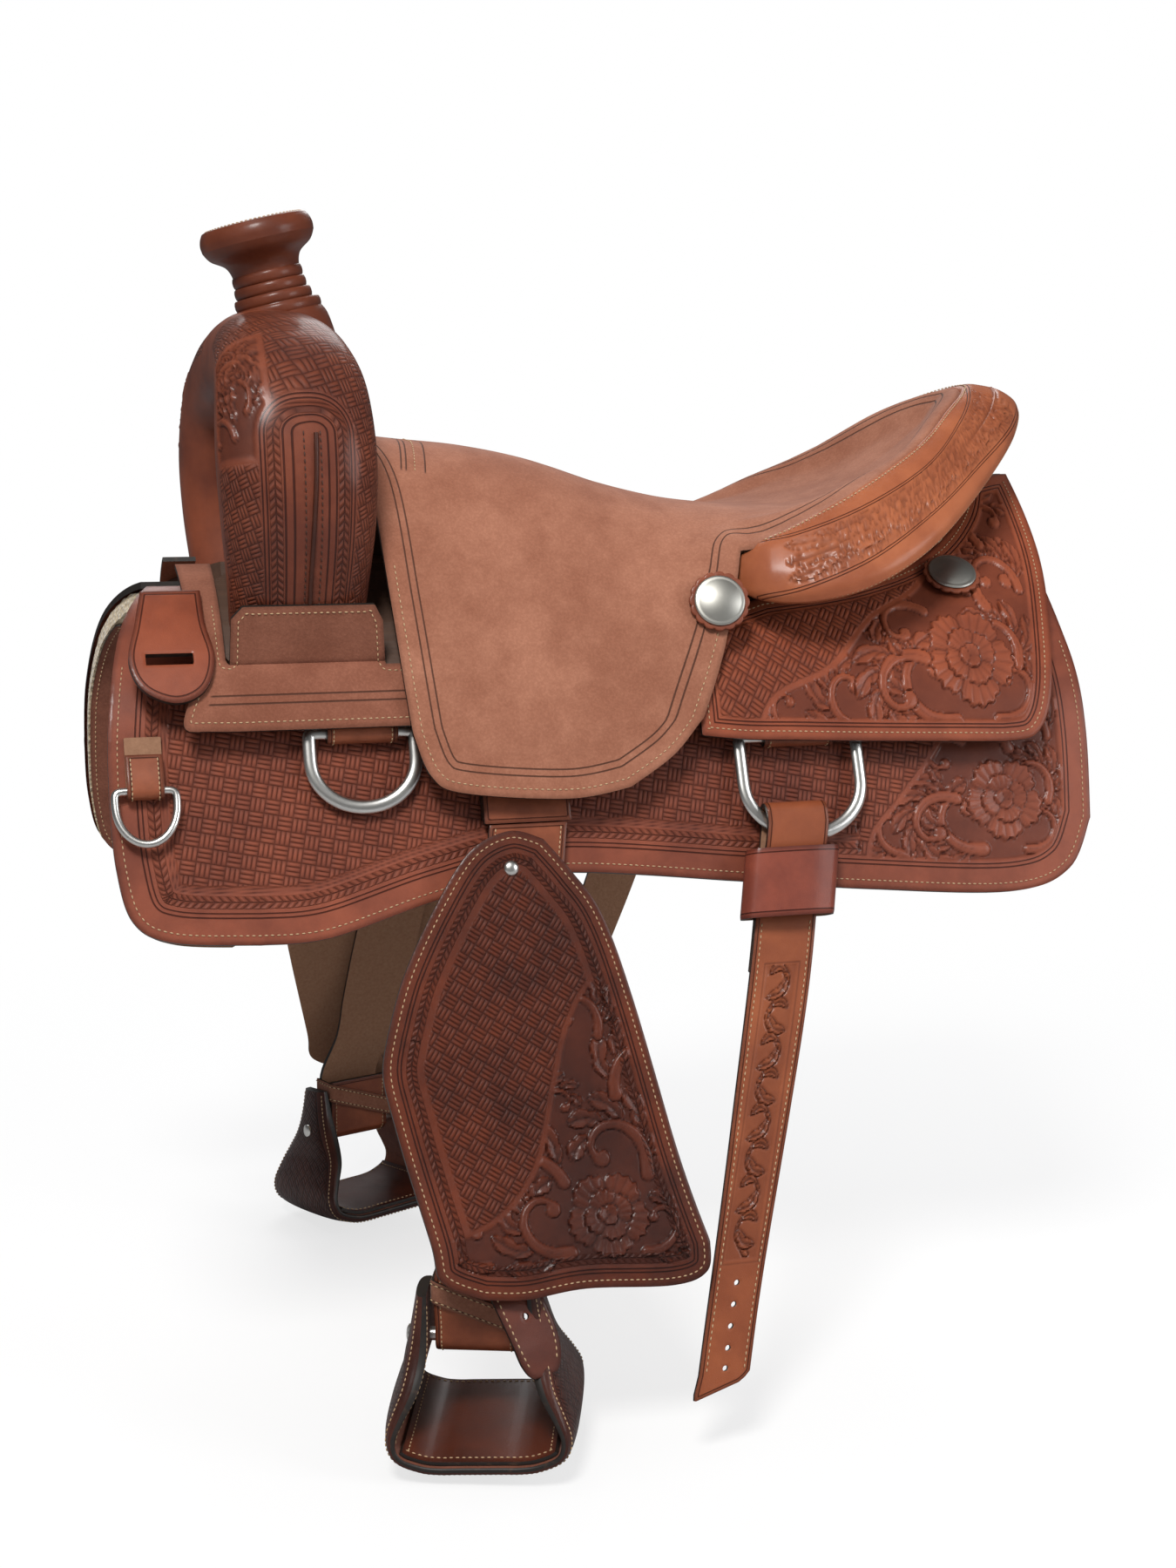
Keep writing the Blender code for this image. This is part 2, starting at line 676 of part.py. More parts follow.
def dee(name, corners, bend, normal, finish, pivot, wide=DEE_WIDE, thick=DEE_THICK):
    """A flat-wire dee: straight bar and legs, then a half-round bow."""
    across, down, width, leg, bow = corners
    path = []
    for x, y in ((-0.5, 0.0), (-0.5, 1.0)):
        path.append(across * x * width + down * (y * leg))
    for k in range(1, bend):
        angle = math.pi * k / bend
        path.append(-across * math.cos(angle) * width / 2 + down * (leg + math.sin(angle) * bow))
    for x, y in ((0.5, 1.0), (0.5, 0.0)):
        path.append(across * x * width + down * (y * leg))
    rings = []
    count = len(path)
    for i, p in enumerate(path):
        first = (p - path[i - 1]).normalized()
        second = (path[(i + 1) % count] - p).normalized()
        along = (first + second).normalized()
        out = along.cross(normal)
        stretch = 1 / max(0.5, math.cos(first.angle(second) / 2))
        ring = []
        for a, b in ((1, 0.45), (0.55, 1), (-0.55, 1), (-1, 0.45), (-1, -0.45), (-0.55, -1), (0.55, -1), (1, -0.45)):
            ring.append(pivot + p + out * (a * wide * stretch) + normal * (b * thick))
        rings.append(ring)
    return loft(name, rings, finish, closed=True, pivot=pivot)


def side_frame(side, tilt):
    """Down and out directions of the side plane, tilted outwards by an angle."""
    down = Vector((0, side * math.cos(SIDE_ANGLE), -math.sin(SIDE_ANGLE)))
    out = Vector((0, side * math.sin(SIDE_ANGLE), math.cos(SIDE_ANGLE)))
    leaned = down * math.cos(tilt) + out * math.sin(tilt)
    return leaned, out * math.cos(tilt) - down * math.sin(tilt)


def make_dees():
    for word, side in SIDES:
        for end, place in (("rear", REAR_DEE), ("front", FRONT_DEE)):
            pivot = sided(lay(*place), side)
            tilt = REAR_DEE_TILT if end == "rear" else 0.0
            down, out = side_frame(side, tilt)
            across = Vector((1, 0, 0))
            width = 0.0885 if end == "rear" else 0.0720
            leg, bow = (REAR_DEE_LEG, REAR_DEE_BOW) if end == "rear" else (0.020, 0.032)
            shape = (across, down, width, leg, bow)
            dee(f"{end}_dee_{word}", shape, 8, out, SILVER, pivot)


# The billet's middle line, as (s, x): it leans forward as it hangs
BILLET_LINE = ((0.250, 0.1020), (0.350, 0.0825), (0.450, 0.0575), (0.570, 0.0258), (0.640, 0.0085))


def billet_x(s):
    return knot_value(BILLET_LINE, s)


def billet_half(s):
    """Its half width, a little less towards the tip."""
    return between(BILLET_HALF, BILLET_HALF - 0.0045, eased((s - 0.345) / 0.25))


def make_billets():
    """The rear billet, doubled round the dee, and the broad loop that closes it."""
    for word, side in SIDES:
        x, s, h = REAR_DEE
        drop = REAR_DEE_LEG + REAR_DEE_BOW
        bar_s = s + drop * math.cos(REAR_DEE_TILT)
        bar_h = h + drop * math.sin(REAR_DEE_TILT)
        radius = DEE_THICK + 0.0029 + BILLET / 2
        turn_s = bar_s - 0.0150
        line = [(0.352, 0.0106), (0.310, 0.0106), (0.280, 0.0106), (bar_s + 0.006, bar_h - radius)]
        for k in range(7):
            angle = math.radians(-90 - 30 * k)
            line.append((turn_s + radius * math.cos(angle), bar_h + radius * math.sin(angle)))
        line += [(bar_s + 0.006, bar_h + radius), (0.275, 0.0198), (0.290, 0.0158), (0.310, 0.0144), (0.352, 0.0142)]
        line += [(0.430, 0.0142), (0.500, 0.0142), (0.592, 0.0142)]
        rows = []
        for place, height in line:
            middle = billet_x(place)
            half = billet_half(place)
            rows.append((middle - half, place, middle + half, place, height))
        tip = billet_x(0.626)
        rows.append((tip - 0.0220, 0.634, tip + 0.0110, 0.618, 0.0142))
        pivot = sided(lay(x, bar_s - 0.005, bar_h), side)
        ribbon(f"rear_billet_{word}", rows, BILLET, STRAP_LEATHER, side, pivot=pivot)
        make_keeper(word, side)


def make_keeper(word, side):
    top, bottom = 0.267, 0.316
    outer = []
    inner = []
    shape = ((-1, 0), (-0.80, 0.75), (-0.35, 1), (0.35, 1), (0.80, 0.75), (1, 0), (0.85, -0.95), (0.35, -1), (-0.35, -1), (-0.85, -0.95))
    for place in (top, bottom):
        middle = billet_x(place)
        wide_ring = []
        thin_ring = []
        for a, b in shape:
            wide_ring.append(sided(lay(middle + a * 0.0345, place, 0.0181 + b * 0.0123), side))
            thin_ring.append(sided(lay(middle + a * 0.0320, place, 0.0181 + b * 0.0101), side))
        outer.append(wide_ring)
        inner.append(thin_ring)
    sleeve(f"billet_keeper_{word}", outer, inner, STRAP_LEATHER, pivot=sided(lay(billet_x(top), top, 0.0125), side))


def round_end(x, s, radius, steps=8):
    """A half circle at the top of a strap, from its left edge to its right."""
    turn = [math.pi * k / steps for k in range(steps + 1)]
    return [(x - radius * math.cos(a), s - radius * math.sin(a)) for a in turn]


def make_stirrup_leather_tops():
    """The fixed run over the bar, and the round-topped piece that swings on it."""

    def over_bar(x, s):
        return between(JOCKEY_UNDER, STRAP_LOW, eased((s - 0.137) / 0.036))

    half = 0.0305
    for word, side in SIDES:
        run = [(SWING_X - half, 0.060), (SWING_X + half, 0.060), (SWING_X + half, 0.236), (SWING_X - half, 0.236)]
        sheet(f"stirrup_leather_top_{word}", run, over_bar, STRAP, STRAP_LEATHER, side)
        turn = round_end(SWING_X, SWING_S, half)
        turn += [(SWING_X + half, LIFT_S - 0.0005), (SWING_X - half, LIFT_S - 0.0005)]
        pivot = sided(lay(SWING_X, SWING_S, PIVOT_UNDER), side)
        sheet(f"leather_pivot_{word}", turn, level(PIVOT_UNDER), STRAP, STRAP_LEATHER, side, pivot=pivot)


def fender_outline():
    arch = spline([(-0.198, 0.377), (-0.184, 0.338), (-0.159, 0.293), (-0.133, 0.258), (-0.105, 0.2455), (-0.082, 0.252)], 3)
    rear = spline([(-0.082, 0.252), (-0.064, 0.275), (-0.045, 0.306), (-0.028, 0.366), (-0.003, 0.486), (0.008, 0.530)], 3)
    foot = spline([(0.008, 0.530), (0.004, 0.549), (-0.020, 0.556), (-0.080, 0.552), (-0.121, 0.555), (-0.150, 0.552)], 3)
    front = spline([(-0.150, 0.552), (-0.176, 0.538), (-0.181, 0.512), (-0.198, 0.434), (-0.203, 0.402), (-0.198, 0.377)], 3)
    return arch[:-1] + rear[:-1] + foot[:-1] + front[:-1]


def over_stirrup(x, s):
    """The fender's foot bows outwards to pass over the stirrup's neck."""
    return FENDER_UNDER + 0.0095 * eased((s - 0.450) / 0.100)


def hang_frame(side):
    """The bolt's centre and the level axes of the turned stirrup."""
    centre = sided(lay(BOLT_X, BOLT_S, BOLT_H), side)
    along = Vector((math.cos(STIRRUP_TURN), side * math.sin(STIRRUP_TURN), 0))
    deep = Vector((-math.sin(STIRRUP_TURN), side * math.cos(STIRRUP_TURN), 0))
    return centre, along, deep


# The lower stirrup leather on its way down: place, share of the turn, height
LEATHER_RUN = (
    (LIFT_S + 0.0005, 0.0, PIVOT_UNDER + STRAP / 2),
    (0.340, 0.0, PIVOT_UNDER + STRAP / 2),
    (0.420, 0.02, 0.0125),
    (0.465, 0.12, 0.0090),
    (0.502, 0.40, 0.0050),
)
LEATHER_HALF = 0.0272
WRAP = BOLT_RADIUS + 0.0010 + STRAP / 2


def leather_section(place, turn, height, side):
    """Middle, width direction and facing of the hanging leather at one place."""
    centre, along, deep = hang_frame(side)
    share = (place - LIFT_S) / (BOLT_S - LIFT_S)
    spot = sided(lay(between(SWING_X, BOLT_X, share), place, height), side)
    out = Vector((0, side * math.sin(SIDE_ANGLE), math.cos(SIDE_ANGLE)))
    across = Vector((1, 0, 0)).lerp(along, turn).normalized()
    return spot, across, out.lerp(deep, turn).normalized()


def strap_ring(spot, across, out, half, thickness, slant=0.0):
    wide = across.normalized() * half
    thick = out.normalized() * thickness / 2
    drop = Vector((0, 0, -slant / 2))
    left = spot - wide - drop
    right = spot + wide + drop
    return [left + thick, right + thick, right - thick, left - thick]


def make_hanging_leathers():
    """The lower stirrup leather round the bolt, the fender and the hobble strap."""
    for word, side in SIDES:
        hinge = sided(lay(SWING_X, LIFT_S, FENDER_UNDER - GAP), side)
        centre, along, deep = hang_frame(side)
        up = Vector((0, 0, 1))
        rings = []
        for run in LEATHER_RUN:
            rings.append(strap_ring(*leather_section(*run, side), LEATHER_HALF, STRAP))
        for above in (0.045, 0.010):
            spot = centre + up * above + deep * WRAP
            rings.append(strap_ring(spot, along, deep, LEATHER_HALF, STRAP))
        steps = 6
        for k in range(steps + 1):
            angle = math.pi * k / steps
            away = deep * math.cos(angle) - up * math.sin(angle)
            rings.append(strap_ring(centre + away * WRAP, along, away, LEATHER_HALF, STRAP))
        last = centre + up * 0.042 - deep * (WRAP + 0.0008)
        rings.append(strap_ring(last, along, -deep, LEATHER_HALF, STRAP))
        loft(f"stirrup_leather_{word}", rings, STRAP_LEATHER, pivot=hinge)
        bends = (0.450, 0.475, 0.500, 0.525)
        sheet(f"fender_{word}", fender_outline(), over_stirrup, FENDER, DARK_LEATHER, side, lay, hinge, bends)
        make_hobble(word, side, hinge)


def make_hobble(word, side, hinge):
    """The strap buckled round both runs of leather, just above the bolt."""
    centre, along, deep = hang_frame(side)
    outer = []
    inner = []
    slant = 0.020
    for above in (0.0165, 0.0305):
        spot = centre + Vector((0, 0, above)) - deep * 0.0004
        outer.append(strap_ring(spot, along, deep, LEATHER_HALF + 0.0026, 0.0284, slant))
        inner.append(strap_ring(spot, along, deep, LEATHER_HALF + 0.0008, 0.0242, slant))
    sleeve(f"hobble_strap_{word}", outer, inner, ROUGH_LEATHER, pivot=hinge)


# The stirrup's band down one side: its inner face's half width and height from
# the bolt, then its half depth and its thickness
STIRRUP_BAND = (
    (0.0334, 0.0360, 0.0150, 0.0080),
    (0.0338, 0.0140, 0.0200, 0.0125),
    (0.0350, -0.0060, 0.0290, 0.0160),
    (0.0400, -0.0220, 0.0400, 0.0150),
    (0.0490, -0.0370, 0.0480, 0.0120),
    (0.0545, -0.0490, 0.0530, 0.0100),
    (0.0515, -0.0590, 0.0550, 0.0095),
    (0.0380, -0.0650, 0.0550, 0.0100),
    (0.0270, -0.0665, 0.0550, 0.0100),
    (0.0160, -0.0665, 0.0550, 0.0100),
    (0.0000, -0.0665, 0.0550, 0.0100),
)
STIRRUP_OFFSET = 0.0030
STIRRUP_RIM = 0.0055


def stirrup_axes(side):
    """Along, up and deep for a stirrup as it hangs, a little tilted, on its bolt."""
    centre, along, deep = hang_frame(side)
    up = Vector((0, 0, 1))
    rise_way = up * math.cos(STIRRUP_TILT) + deep * math.sin(STIRRUP_TILT)
    deep_way = deep * math.cos(STIRRUP_TILT) - up * math.sin(STIRRUP_TILT)
    wide_way = along * math.cos(STIRRUP_ROLL) + rise_way * math.sin(STIRRUP_ROLL)
    rise_way = rise_way * math.cos(STIRRUP_ROLL) - along * math.sin(STIRRUP_ROLL)
    return centre, wide_way, rise_way, deep_way


def stirrup_line():
    """The band from the front neck round under the foot to the rear neck."""
    rows = [Vector((-row[0], row[1], row[2], row[3])) for row in STIRRUP_BAND]
    line = spline(rows, 2)
    line += [Vector((-p[0], p[1], p[2], p[3])) for p in reversed(line[:-1])]
    return line


def band_normal(line, i):
    """Out of the band, across its run, as (width, height)."""
    before = line[max(i - 1, 0)]
    after = line[min(i + 1, len(line) - 1)]
    run = Vector((after[0] - before[0], after[1] - before[1])).normalized()
    return Vector((run.y, -run.x))


def make_stirrups():
    """The bell-bottomed stirrup, its tread leather and the bolt through its neck."""
    line = stirrup_line()
    for word, side in SIDES:
        centre, wide_way, rise_way, deep_way = stirrup_axes(side)
        rings = []
        for i, row in enumerate(line):
            normal = band_normal(line, i)
            rim = STIRRUP_RIM / row[3]
            ring = []
            for a, b in ((-1, 0), (-1, rim), (-0.62, 0.8), (-0.25, 1), (0.25, 1), (0.62, 0.8), (1, rim), (1, 0)):
                out = normal * (b * row[3])
                spot = wide_way * (row[0] + out.x + STIRRUP_OFFSET) + rise_way * (row[1] + out.y)
                ring.append(centre + spot + deep_way * (a * row[2]))
            rings.append(ring)
        body = loft(f"stirrup_{word}", rings, DARK_LEATHER, pivot=centre, smooth=50)
        along = hang_frame(side)[1]
        reach = 0.0620
        hole_radius = BOLT_RADIUS + 0.0004
        shank = [(0, -reach), (hole_radius, -reach), (hole_radius, reach), (0, reach)]
        cut(body, turned(f"bolt_hole_{word}", shank, centre, along, SILVER, 12))
        half = 0.0460
        bolt = [(0, -half), (BOLT_RADIUS, -half), (BOLT_RADIUS, half), (0, half)]
        turned(f"stirrup_bolt_{word}", bolt, centre, along, SILVER, 12, pivot=centre)
        make_tread(word, line, side)


def make_tread(word, line, side):
    """The smooth leather on the footrest, following the band's inner face."""
    centre, wide_way, rise_way, deep_way = stirrup_axes(side)
    half_deep = 0.0520
    rings = []
    for i, row in enumerate(line):
        if row[1] > -0.0580:
            continue
        inward = -band_normal(line, i)
        ring = []
        for deepness, lift in ((-half_deep, 0.0006), (-half_deep, 0.0036), (half_deep, 0.0036), (half_deep, 0.0006)):
            wide = row[0] + inward.x * lift + STIRRUP_OFFSET
            spot = wide_way * wide + rise_way * (row[1] + inward.y * lift)
            ring.append(centre + spot + deep_way * deepness)
        rings.append(ring)
    loft(f"stirrup_tread_{word}", rings, STRAP_LEATHER, pivot=centre)


def disc_frame(surface, x, s, height, side):
    """Where a disc sits on a surface, and the way it faces."""
    step = 0.004
    here = surface(x, s, height)
    along = surface(x + step, s, height) - surface(x - step, s, height)
    across = surface(x, s + step, height) - surface(x, s - step, height)
    normal = along.cross(across).normalized()
    return sided(here, side), sided(normal, side)


def make_conchos():
    """Round silver conchos on scalloped leather rosettes, two to a side."""
    places = (("seat", on_seat, 0.056, 0.1405, SEAT + 0.0022), ("rear", lay, 0.256, 0.080, JOCKEY_UNDER + JOCKEY + 0.0024))
    petals = 16
    for word, side in SIDES:
        for label, surface, x, s, height in places:
            spot, normal = disc_frame(surface, x, s, height, side)
            turn = Vector((0, 0, 1)).rotation_difference(normal).to_matrix()
            rim = []
            for k in range(petals * 3):
                angle = 2 * math.pi * k / (petals * 3)
                radius = ROSETTE_RADIUS - (0.0016 if k % 3 == 0 else 0.0)
                rim.append(Vector((radius * math.cos(angle), radius * math.sin(angle), 0)))
            rings = [[spot + turn @ (p + Vector((0, 0, h))) for p in rim] for h in (0, 0.0024)]
            loft(f"{label}_rosette_{word}", rings, SMOOTH_LEATHER)
            dome = [(0, 0), (CONCHO_RADIUS, 0), (CONCHO_RADIUS, 0.0012), (0.0145, 0.0030), (0.0080, 0.0042), (0, 0.0046)]
            turned(f"{label}_concho_{word}", dome, spot + normal * (0.0024 + GAP), normal, SILVER, 20)


def make_front_fittings():
    """The latigo keeper on the near front, and the breast-strap dees."""
    tab = [(-0.300, 0.080), (-0.300, 0.106), (-0.296, 0.130), (-0.304, 0.149), (-0.323, 0.156)]
    tab += [(-0.344, 0.148), (-0.352, 0.130), (-0.346, 0.106), (-0.340, 0.080)]
    outline = spline(tab, 3)
    height = JOCKEY_UNDER + JOCKEY + 0.0006
    keeper = sheet("latigo_keeper", outline, level(height), 0.0048, SMOOTH_LEATHER, -1)
    slot = [(-0.341, 0.1265), (-0.310, 0.1265), (-0.310, 0.1335), (-0.341, 0.1335)]
    cut(keeper, sheet("keeper_slot", slot, level(0.01), 0.05, SMOOTH_LEATHER, -1))
    for word, side in SIDES:
        down, out = side_frame(side, math.radians(4))
        pivot = sided(lay(-0.345, 0.206, 0.0118), side)
        across = Vector((1, 0, 0))
        dee(f"breast_dee_{word}", (across, down, 0.040, 0.010, 0.026), 6, out, SILVER, pivot, 0.0026, 0.0024)
        radius = 0.0024 + 0.0006 + 0.0012
        line = [(0.170, SKIRT + 0.0018), (0.196, SKIRT + 0.0018)]
        for k in range(6):
            angle = -math.pi / 2 + math.pi * k / 5
            line.append((0.206 + radius * math.cos(angle) * 1.2, 0.0118 + radius * math.sin(angle)))
        line += [(0.196, 0.0148), (0.182, 0.0108)]
        rows = [(-0.357, p[0], -0.333, p[0], p[1]) for p in line]
        ribbon(f"breast_tab_{word}", rows, 0.0022, STRAP_LEATHER, side)


def main():
    make_skirts()
    make_tree_bars()
    make_fork()
    make_seat()
    make_cantle()
    make_jockeys()
    make_rigging()
    make_dees()
    make_billets()
    make_stirrup_leather_tops()
    make_hanging_leathers()
    make_stirrups()
    make_conchos()
    make_front_fittings()


main()
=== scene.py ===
"""Western trail saddle: the leather, wool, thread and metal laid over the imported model."""

import math

import bpy
import numpy as np
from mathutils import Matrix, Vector, kdtree


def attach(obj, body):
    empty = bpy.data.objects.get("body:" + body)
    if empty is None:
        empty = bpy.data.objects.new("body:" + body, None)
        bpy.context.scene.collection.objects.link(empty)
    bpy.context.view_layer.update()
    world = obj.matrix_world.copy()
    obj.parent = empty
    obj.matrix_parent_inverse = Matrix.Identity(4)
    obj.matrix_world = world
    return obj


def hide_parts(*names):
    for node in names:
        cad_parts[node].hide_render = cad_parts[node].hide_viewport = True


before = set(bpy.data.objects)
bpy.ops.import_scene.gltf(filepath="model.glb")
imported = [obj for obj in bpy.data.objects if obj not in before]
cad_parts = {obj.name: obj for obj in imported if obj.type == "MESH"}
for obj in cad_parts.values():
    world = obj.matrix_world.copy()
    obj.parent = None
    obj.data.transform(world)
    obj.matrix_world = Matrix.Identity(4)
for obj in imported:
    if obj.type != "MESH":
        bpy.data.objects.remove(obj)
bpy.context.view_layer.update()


# Camera, light and floor
# A long lens a little above the seat, on the near side and turned towards the
# rear. The light is broad and soft, and the floor is pale and plain.

camera_data = bpy.data.cameras.new("camera")
camera_data.lens = 50.0
camera_data.sensor_width = 36.0
camera = bpy.data.objects.new("camera", camera_data)
bpy.context.scene.collection.objects.link(camera)
AIM_LEVEL = -0.144
camera_turn, camera_rise, camera_distance = math.radians(16), math.radians(9), 1.669
looking = Vector((
    math.sin(camera_turn) * math.cos(camera_rise),
    math.cos(camera_turn) * math.cos(camera_rise),
    -math.sin(camera_rise),
))
camera.location = Vector((0, 0, AIM_LEVEL)) - looking * camera_distance
camera.rotation_euler = looking.to_track_quat("-Z", "Y").to_euler()
bpy.context.scene.camera = camera
bpy.context.scene.view_settings.view_transform = "Standard"


def soft_lamp(name, place, aim, size, power, tint=(1, 1, 1)):
    data = bpy.data.lights.new(name, "AREA")
    data.shape = "DISK"
    data.size = size
    data.energy = power
    data.color = tint
    lamp = bpy.data.objects.new(name, data)
    bpy.context.scene.collection.objects.link(lamp)
    lamp.location = place
    lamp.rotation_euler = (Vector(aim) - Vector(place)).to_track_quat("-Z", "Y").to_euler()


soft_lamp("key", (-1.0, -2.0, 2.3), (0, 0, -0.1), 0.9, 88, (1.0, 0.985, 0.96))
soft_lamp("fill", (2.3, -2.0, 0.9), (0, 0, -0.15), 1.4, 30, (0.97, 0.985, 1.0))
soft_lamp("back", (0.4, 2.6, 1.9), (0, 0, -0.1), 2.0, 36)

WHITE = (1, 1, 1, 1)


def wired(tree, kinds, values, links):
    """Fills a node tree: new nodes by name, the values that they keep, and what joins what."""
    nodes = {node.name: node for node in tree.nodes}
    for label, kind, *setting in kinds:
        nodes[label] = tree.nodes.new(kind)
        if setting:
            setattr(nodes[label], *setting)
    for label, socket, value in values:
        nodes[label].inputs[socket].default_value = value
    for source, out, target, into in links:
        tree.links.new(nodes[source].outputs[out], nodes[target].inputs[into])


world = bpy.data.worlds.new("studio")
bpy.context.scene.world = world
world.use_nodes = True
wired(
    world.node_tree,
    (
        ("white", "ShaderNodeBackground"), ("rays", "ShaderNodeLightPath"), ("shine", "ShaderNodeBackground"),
        ("dim", "ShaderNodeMixShader"), ("choice", "ShaderNodeMixShader"),
    ),
    (
        ("Background", "Color", (0.94, 0.95, 1.0, 1)), ("Background", "Strength", 0.42),
        ("white", "Color", WHITE), ("white", "Strength", 1.0),
        ("shine", "Color", WHITE), ("shine", "Strength", 0.10),
    ),
    (
        ("rays", "Is Glossy Ray", "dim", 0), ("Background", 0, "dim", 1), ("shine", 0, "dim", 2),
        ("rays", "Is Camera Ray", "choice", 0), ("dim", 0, "choice", 1), ("white", 0, "choice", 2),
        ("choice", 0, "World Output", "Surface"),
    ),
)

FLOOR_LEVEL, FLOOR_REACH = -0.560, 9
floor_mesh = bpy.data.meshes.new("floor")
floor_corners = [
    (x * FLOOR_REACH, y * FLOOR_REACH, FLOOR_LEVEL) for x, y in ((-1, -1), (1, -1), (1, 1), (-1, 1))
]
floor_mesh.from_pydata(floor_corners, [], [(0, 1, 2, 3)])
floor = bpy.data.objects.new("floor", floor_mesh)
bpy.context.scene.collection.objects.link(floor)
floor_paint = bpy.data.materials.new("floor")
floor_paint.use_nodes = True
wired(
    floor_paint.node_tree,
    (
        ("glow", "ShaderNodeEmission"), ("rays", "ShaderNodeLightPath"), ("tone", "ShaderNodeMapRange"),
        ("place", "ShaderNodeTexCoord"), ("reach", "ShaderNodeVectorMath", "operation", "LENGTH"),
        ("fade", "ShaderNodeMapRange"), ("share", "ShaderNodeMath", "operation", "MULTIPLY"),
        ("mixed", "ShaderNodeMixShader"),
    ),
    (
        ("Principled BSDF", "Roughness", 0.95), ("glow", "Color", WHITE),
        ("tone", "To Min", 0.38), ("tone", "To Max", 0.94),
        ("fade", "From Min", 0.30), ("fade", "From Max", 1.50),
        ("fade", "To Min", 0.62), ("fade", "To Max", 1.0),
    ),
    (
        ("rays", "Is Camera Ray", "tone", "Value"), ("tone", 0, "Principled BSDF", "Base Color"),
        ("place", "Object", "reach", 0), ("reach", "Value", "fade", "Value"),
        ("rays", "Is Camera Ray", "share", 0), ("fade", 0, "share", 1), ("share", 0, "mixed", 0),
        ("Principled BSDF", 0, "mixed", 1), ("glow", 0, "mixed", 2),
        ("mixed", 0, "Material Output", "Surface"),
    ),
)
floor_mesh.materials.append(floor_paint)


# Fleece
# Clipped sheep's wool, sewn to the underside of each skirt. It shows as a
# cream edge all round the skirt, and covers the whole inside of the saddle.

BACK_RADIUS = 0.139
SIDE_ANGLE = math.radians(72)
ARC = BACK_RADIUS * SIDE_ANGLE
WOOL = 0.012
SIDES = (("near", -1), ("off", 1))
RIM_STEP = 0.0005
HOLE_STEP = 0.0003


def eased(t):
    t = np.clip(t, 0.0, 1.0)
    return t * t * (3 - 2 * t)


def unit(vectors):
    return vectors / np.linalg.norm(vectors, axis=-1, keepdims=True)


def read_at(where, run, table):
    """Rows of a table at places between its own, which are given as distances."""
    return np.stack([np.interp(where, run, column) for column in table.T], -1)


def run_along(line):
    """How far along a line each of its points is."""
    return np.concatenate([[0], np.cumsum(np.linalg.norm(np.diff(line, axis=0), axis=1))])


def lay(x, s, h):
    """From the flat pattern to the saddle's side: s runs down from the ridge."""
    x, s, h = np.broadcast_arrays(np.asarray(x, float), s, h)
    angle = np.minimum(s, ARC) / BACK_RADIUS
    past = np.maximum(0.0, s - ARC)
    y = (BACK_RADIUS + h) * np.sin(angle) + past * math.cos(SIDE_ANGLE)
    z = (BACK_RADIUS + h) * np.cos(angle) - past * math.sin(SIDE_ANGLE)
    climb = 0.055 * eased((x - 0.20) / 0.14) * np.maximum(0.0, 1 - s / 0.12) ** 1.7
    return np.stack([x, y, z - BACK_RADIUS + WOOL + climb], -1)


def curve_through(points, steps=10):
    """A smooth line through the given points, ends included."""
    knots = np.asarray(points, float)
    line = []
    for i in range(len(knots) - 1):
        a, b = knots[max(i - 1, 0)], knots[i]
        c, d = knots[i + 1], knots[min(i + 2, len(knots) - 1)]
        for k in range(steps):
            t = k / steps
            bend = (2 * a - 5 * b + 4 * c - d) * t * t + (3 * b - a - 3 * c + d) * t**3
            line.append(b + ((c - a) * t + bend) / 2)
    line.append(knots[-1])
    return np.array(line)


def evenly(line, step, closed=False):
    """The same line with points at equal distances."""
    line = np.asarray(line, float)
    if closed:
        line = np.vstack([line, line[:1]])
    run = run_along(line)
    count = max(2, int(round(run[-1] / step)) + 1)
    made = read_at(np.linspace(0, run[-1], count), run, line)
    return made[:-1] if closed else made


def within(outline, x, s):
    """True where a place lies inside an outline."""
    inside = np.zeros(x.shape, bool)
    ends = np.roll(outline, -1, axis=0)
    for (x0, s0), (x1, s1) in zip(outline, ends):
        if s0 == s1:
            continue
        crossing = (s0 > s) != (s1 > s)
        inside ^= crossing & (x < (x1 - x0) * (s - s0) / (s1 - s0) + x0)
    return inside


def rough_noise(x, s, size, seed):
    """Smooth random heights from -1 to 1, about one bump for each size."""
    table = np.random.default_rng(seed).uniform(-1, 1, (97, 89))
    u, v = np.asarray(x) / size, np.asarray(s) / size
    iu, iv = np.floor(u).astype(int), np.floor(v).astype(int)
    fu, fv = eased(u - iu), eased(v - iv)

    def corner(a, b):
        return table[(iu + a) % table.shape[0], (iv + b) % table.shape[1]]

    low = corner(0, 0) * (1 - fu) + corner(1, 0) * fu
    high = corner(0, 1) * (1 - fu) + corner(1, 1) * fu
    return low * (1 - fv) + high * fv


def hold(made, name, first, second, third=0.0):
    """Keeps three numbers for each point of a piece, for its material to read."""
    kept = made.data.attributes.new(name, "FLOAT_VECTOR", "POINT")
    values = np.stack(np.broadcast_arrays(first, second, third), -1)
    kept.data.foreach_set("vector", values.astype(np.float32).ravel())


def finished(name, points, faces, finishes, which=None, sharp=50):
    """A mesh object with its place in its mesh."""
    mesh = bpy.data.meshes.new(name)
    mesh.from_pydata(np.asarray(points).tolist(), [], [list(map(int, f)) for f in faces])
    for finish in finishes:
        mesh.materials.append(finish)
    if which is not None:
        mesh.polygons.foreach_set("material_index", np.asarray(which, np.int32))
    mesh.shade_smooth()
    mesh.set_sharp_from_angle(angle=math.radians(sharp))
    made = bpy.data.objects.new(name, mesh)
    bpy.context.scene.collection.objects.link(made)
    return made


def nearest_of(points):
    """A search tree over flat points."""
    tree = kdtree.KDTree(len(points))
    for k, (a, b) in enumerate(points):
        tree.insert((a, b, 0), k)
    tree.balance()
    return tree


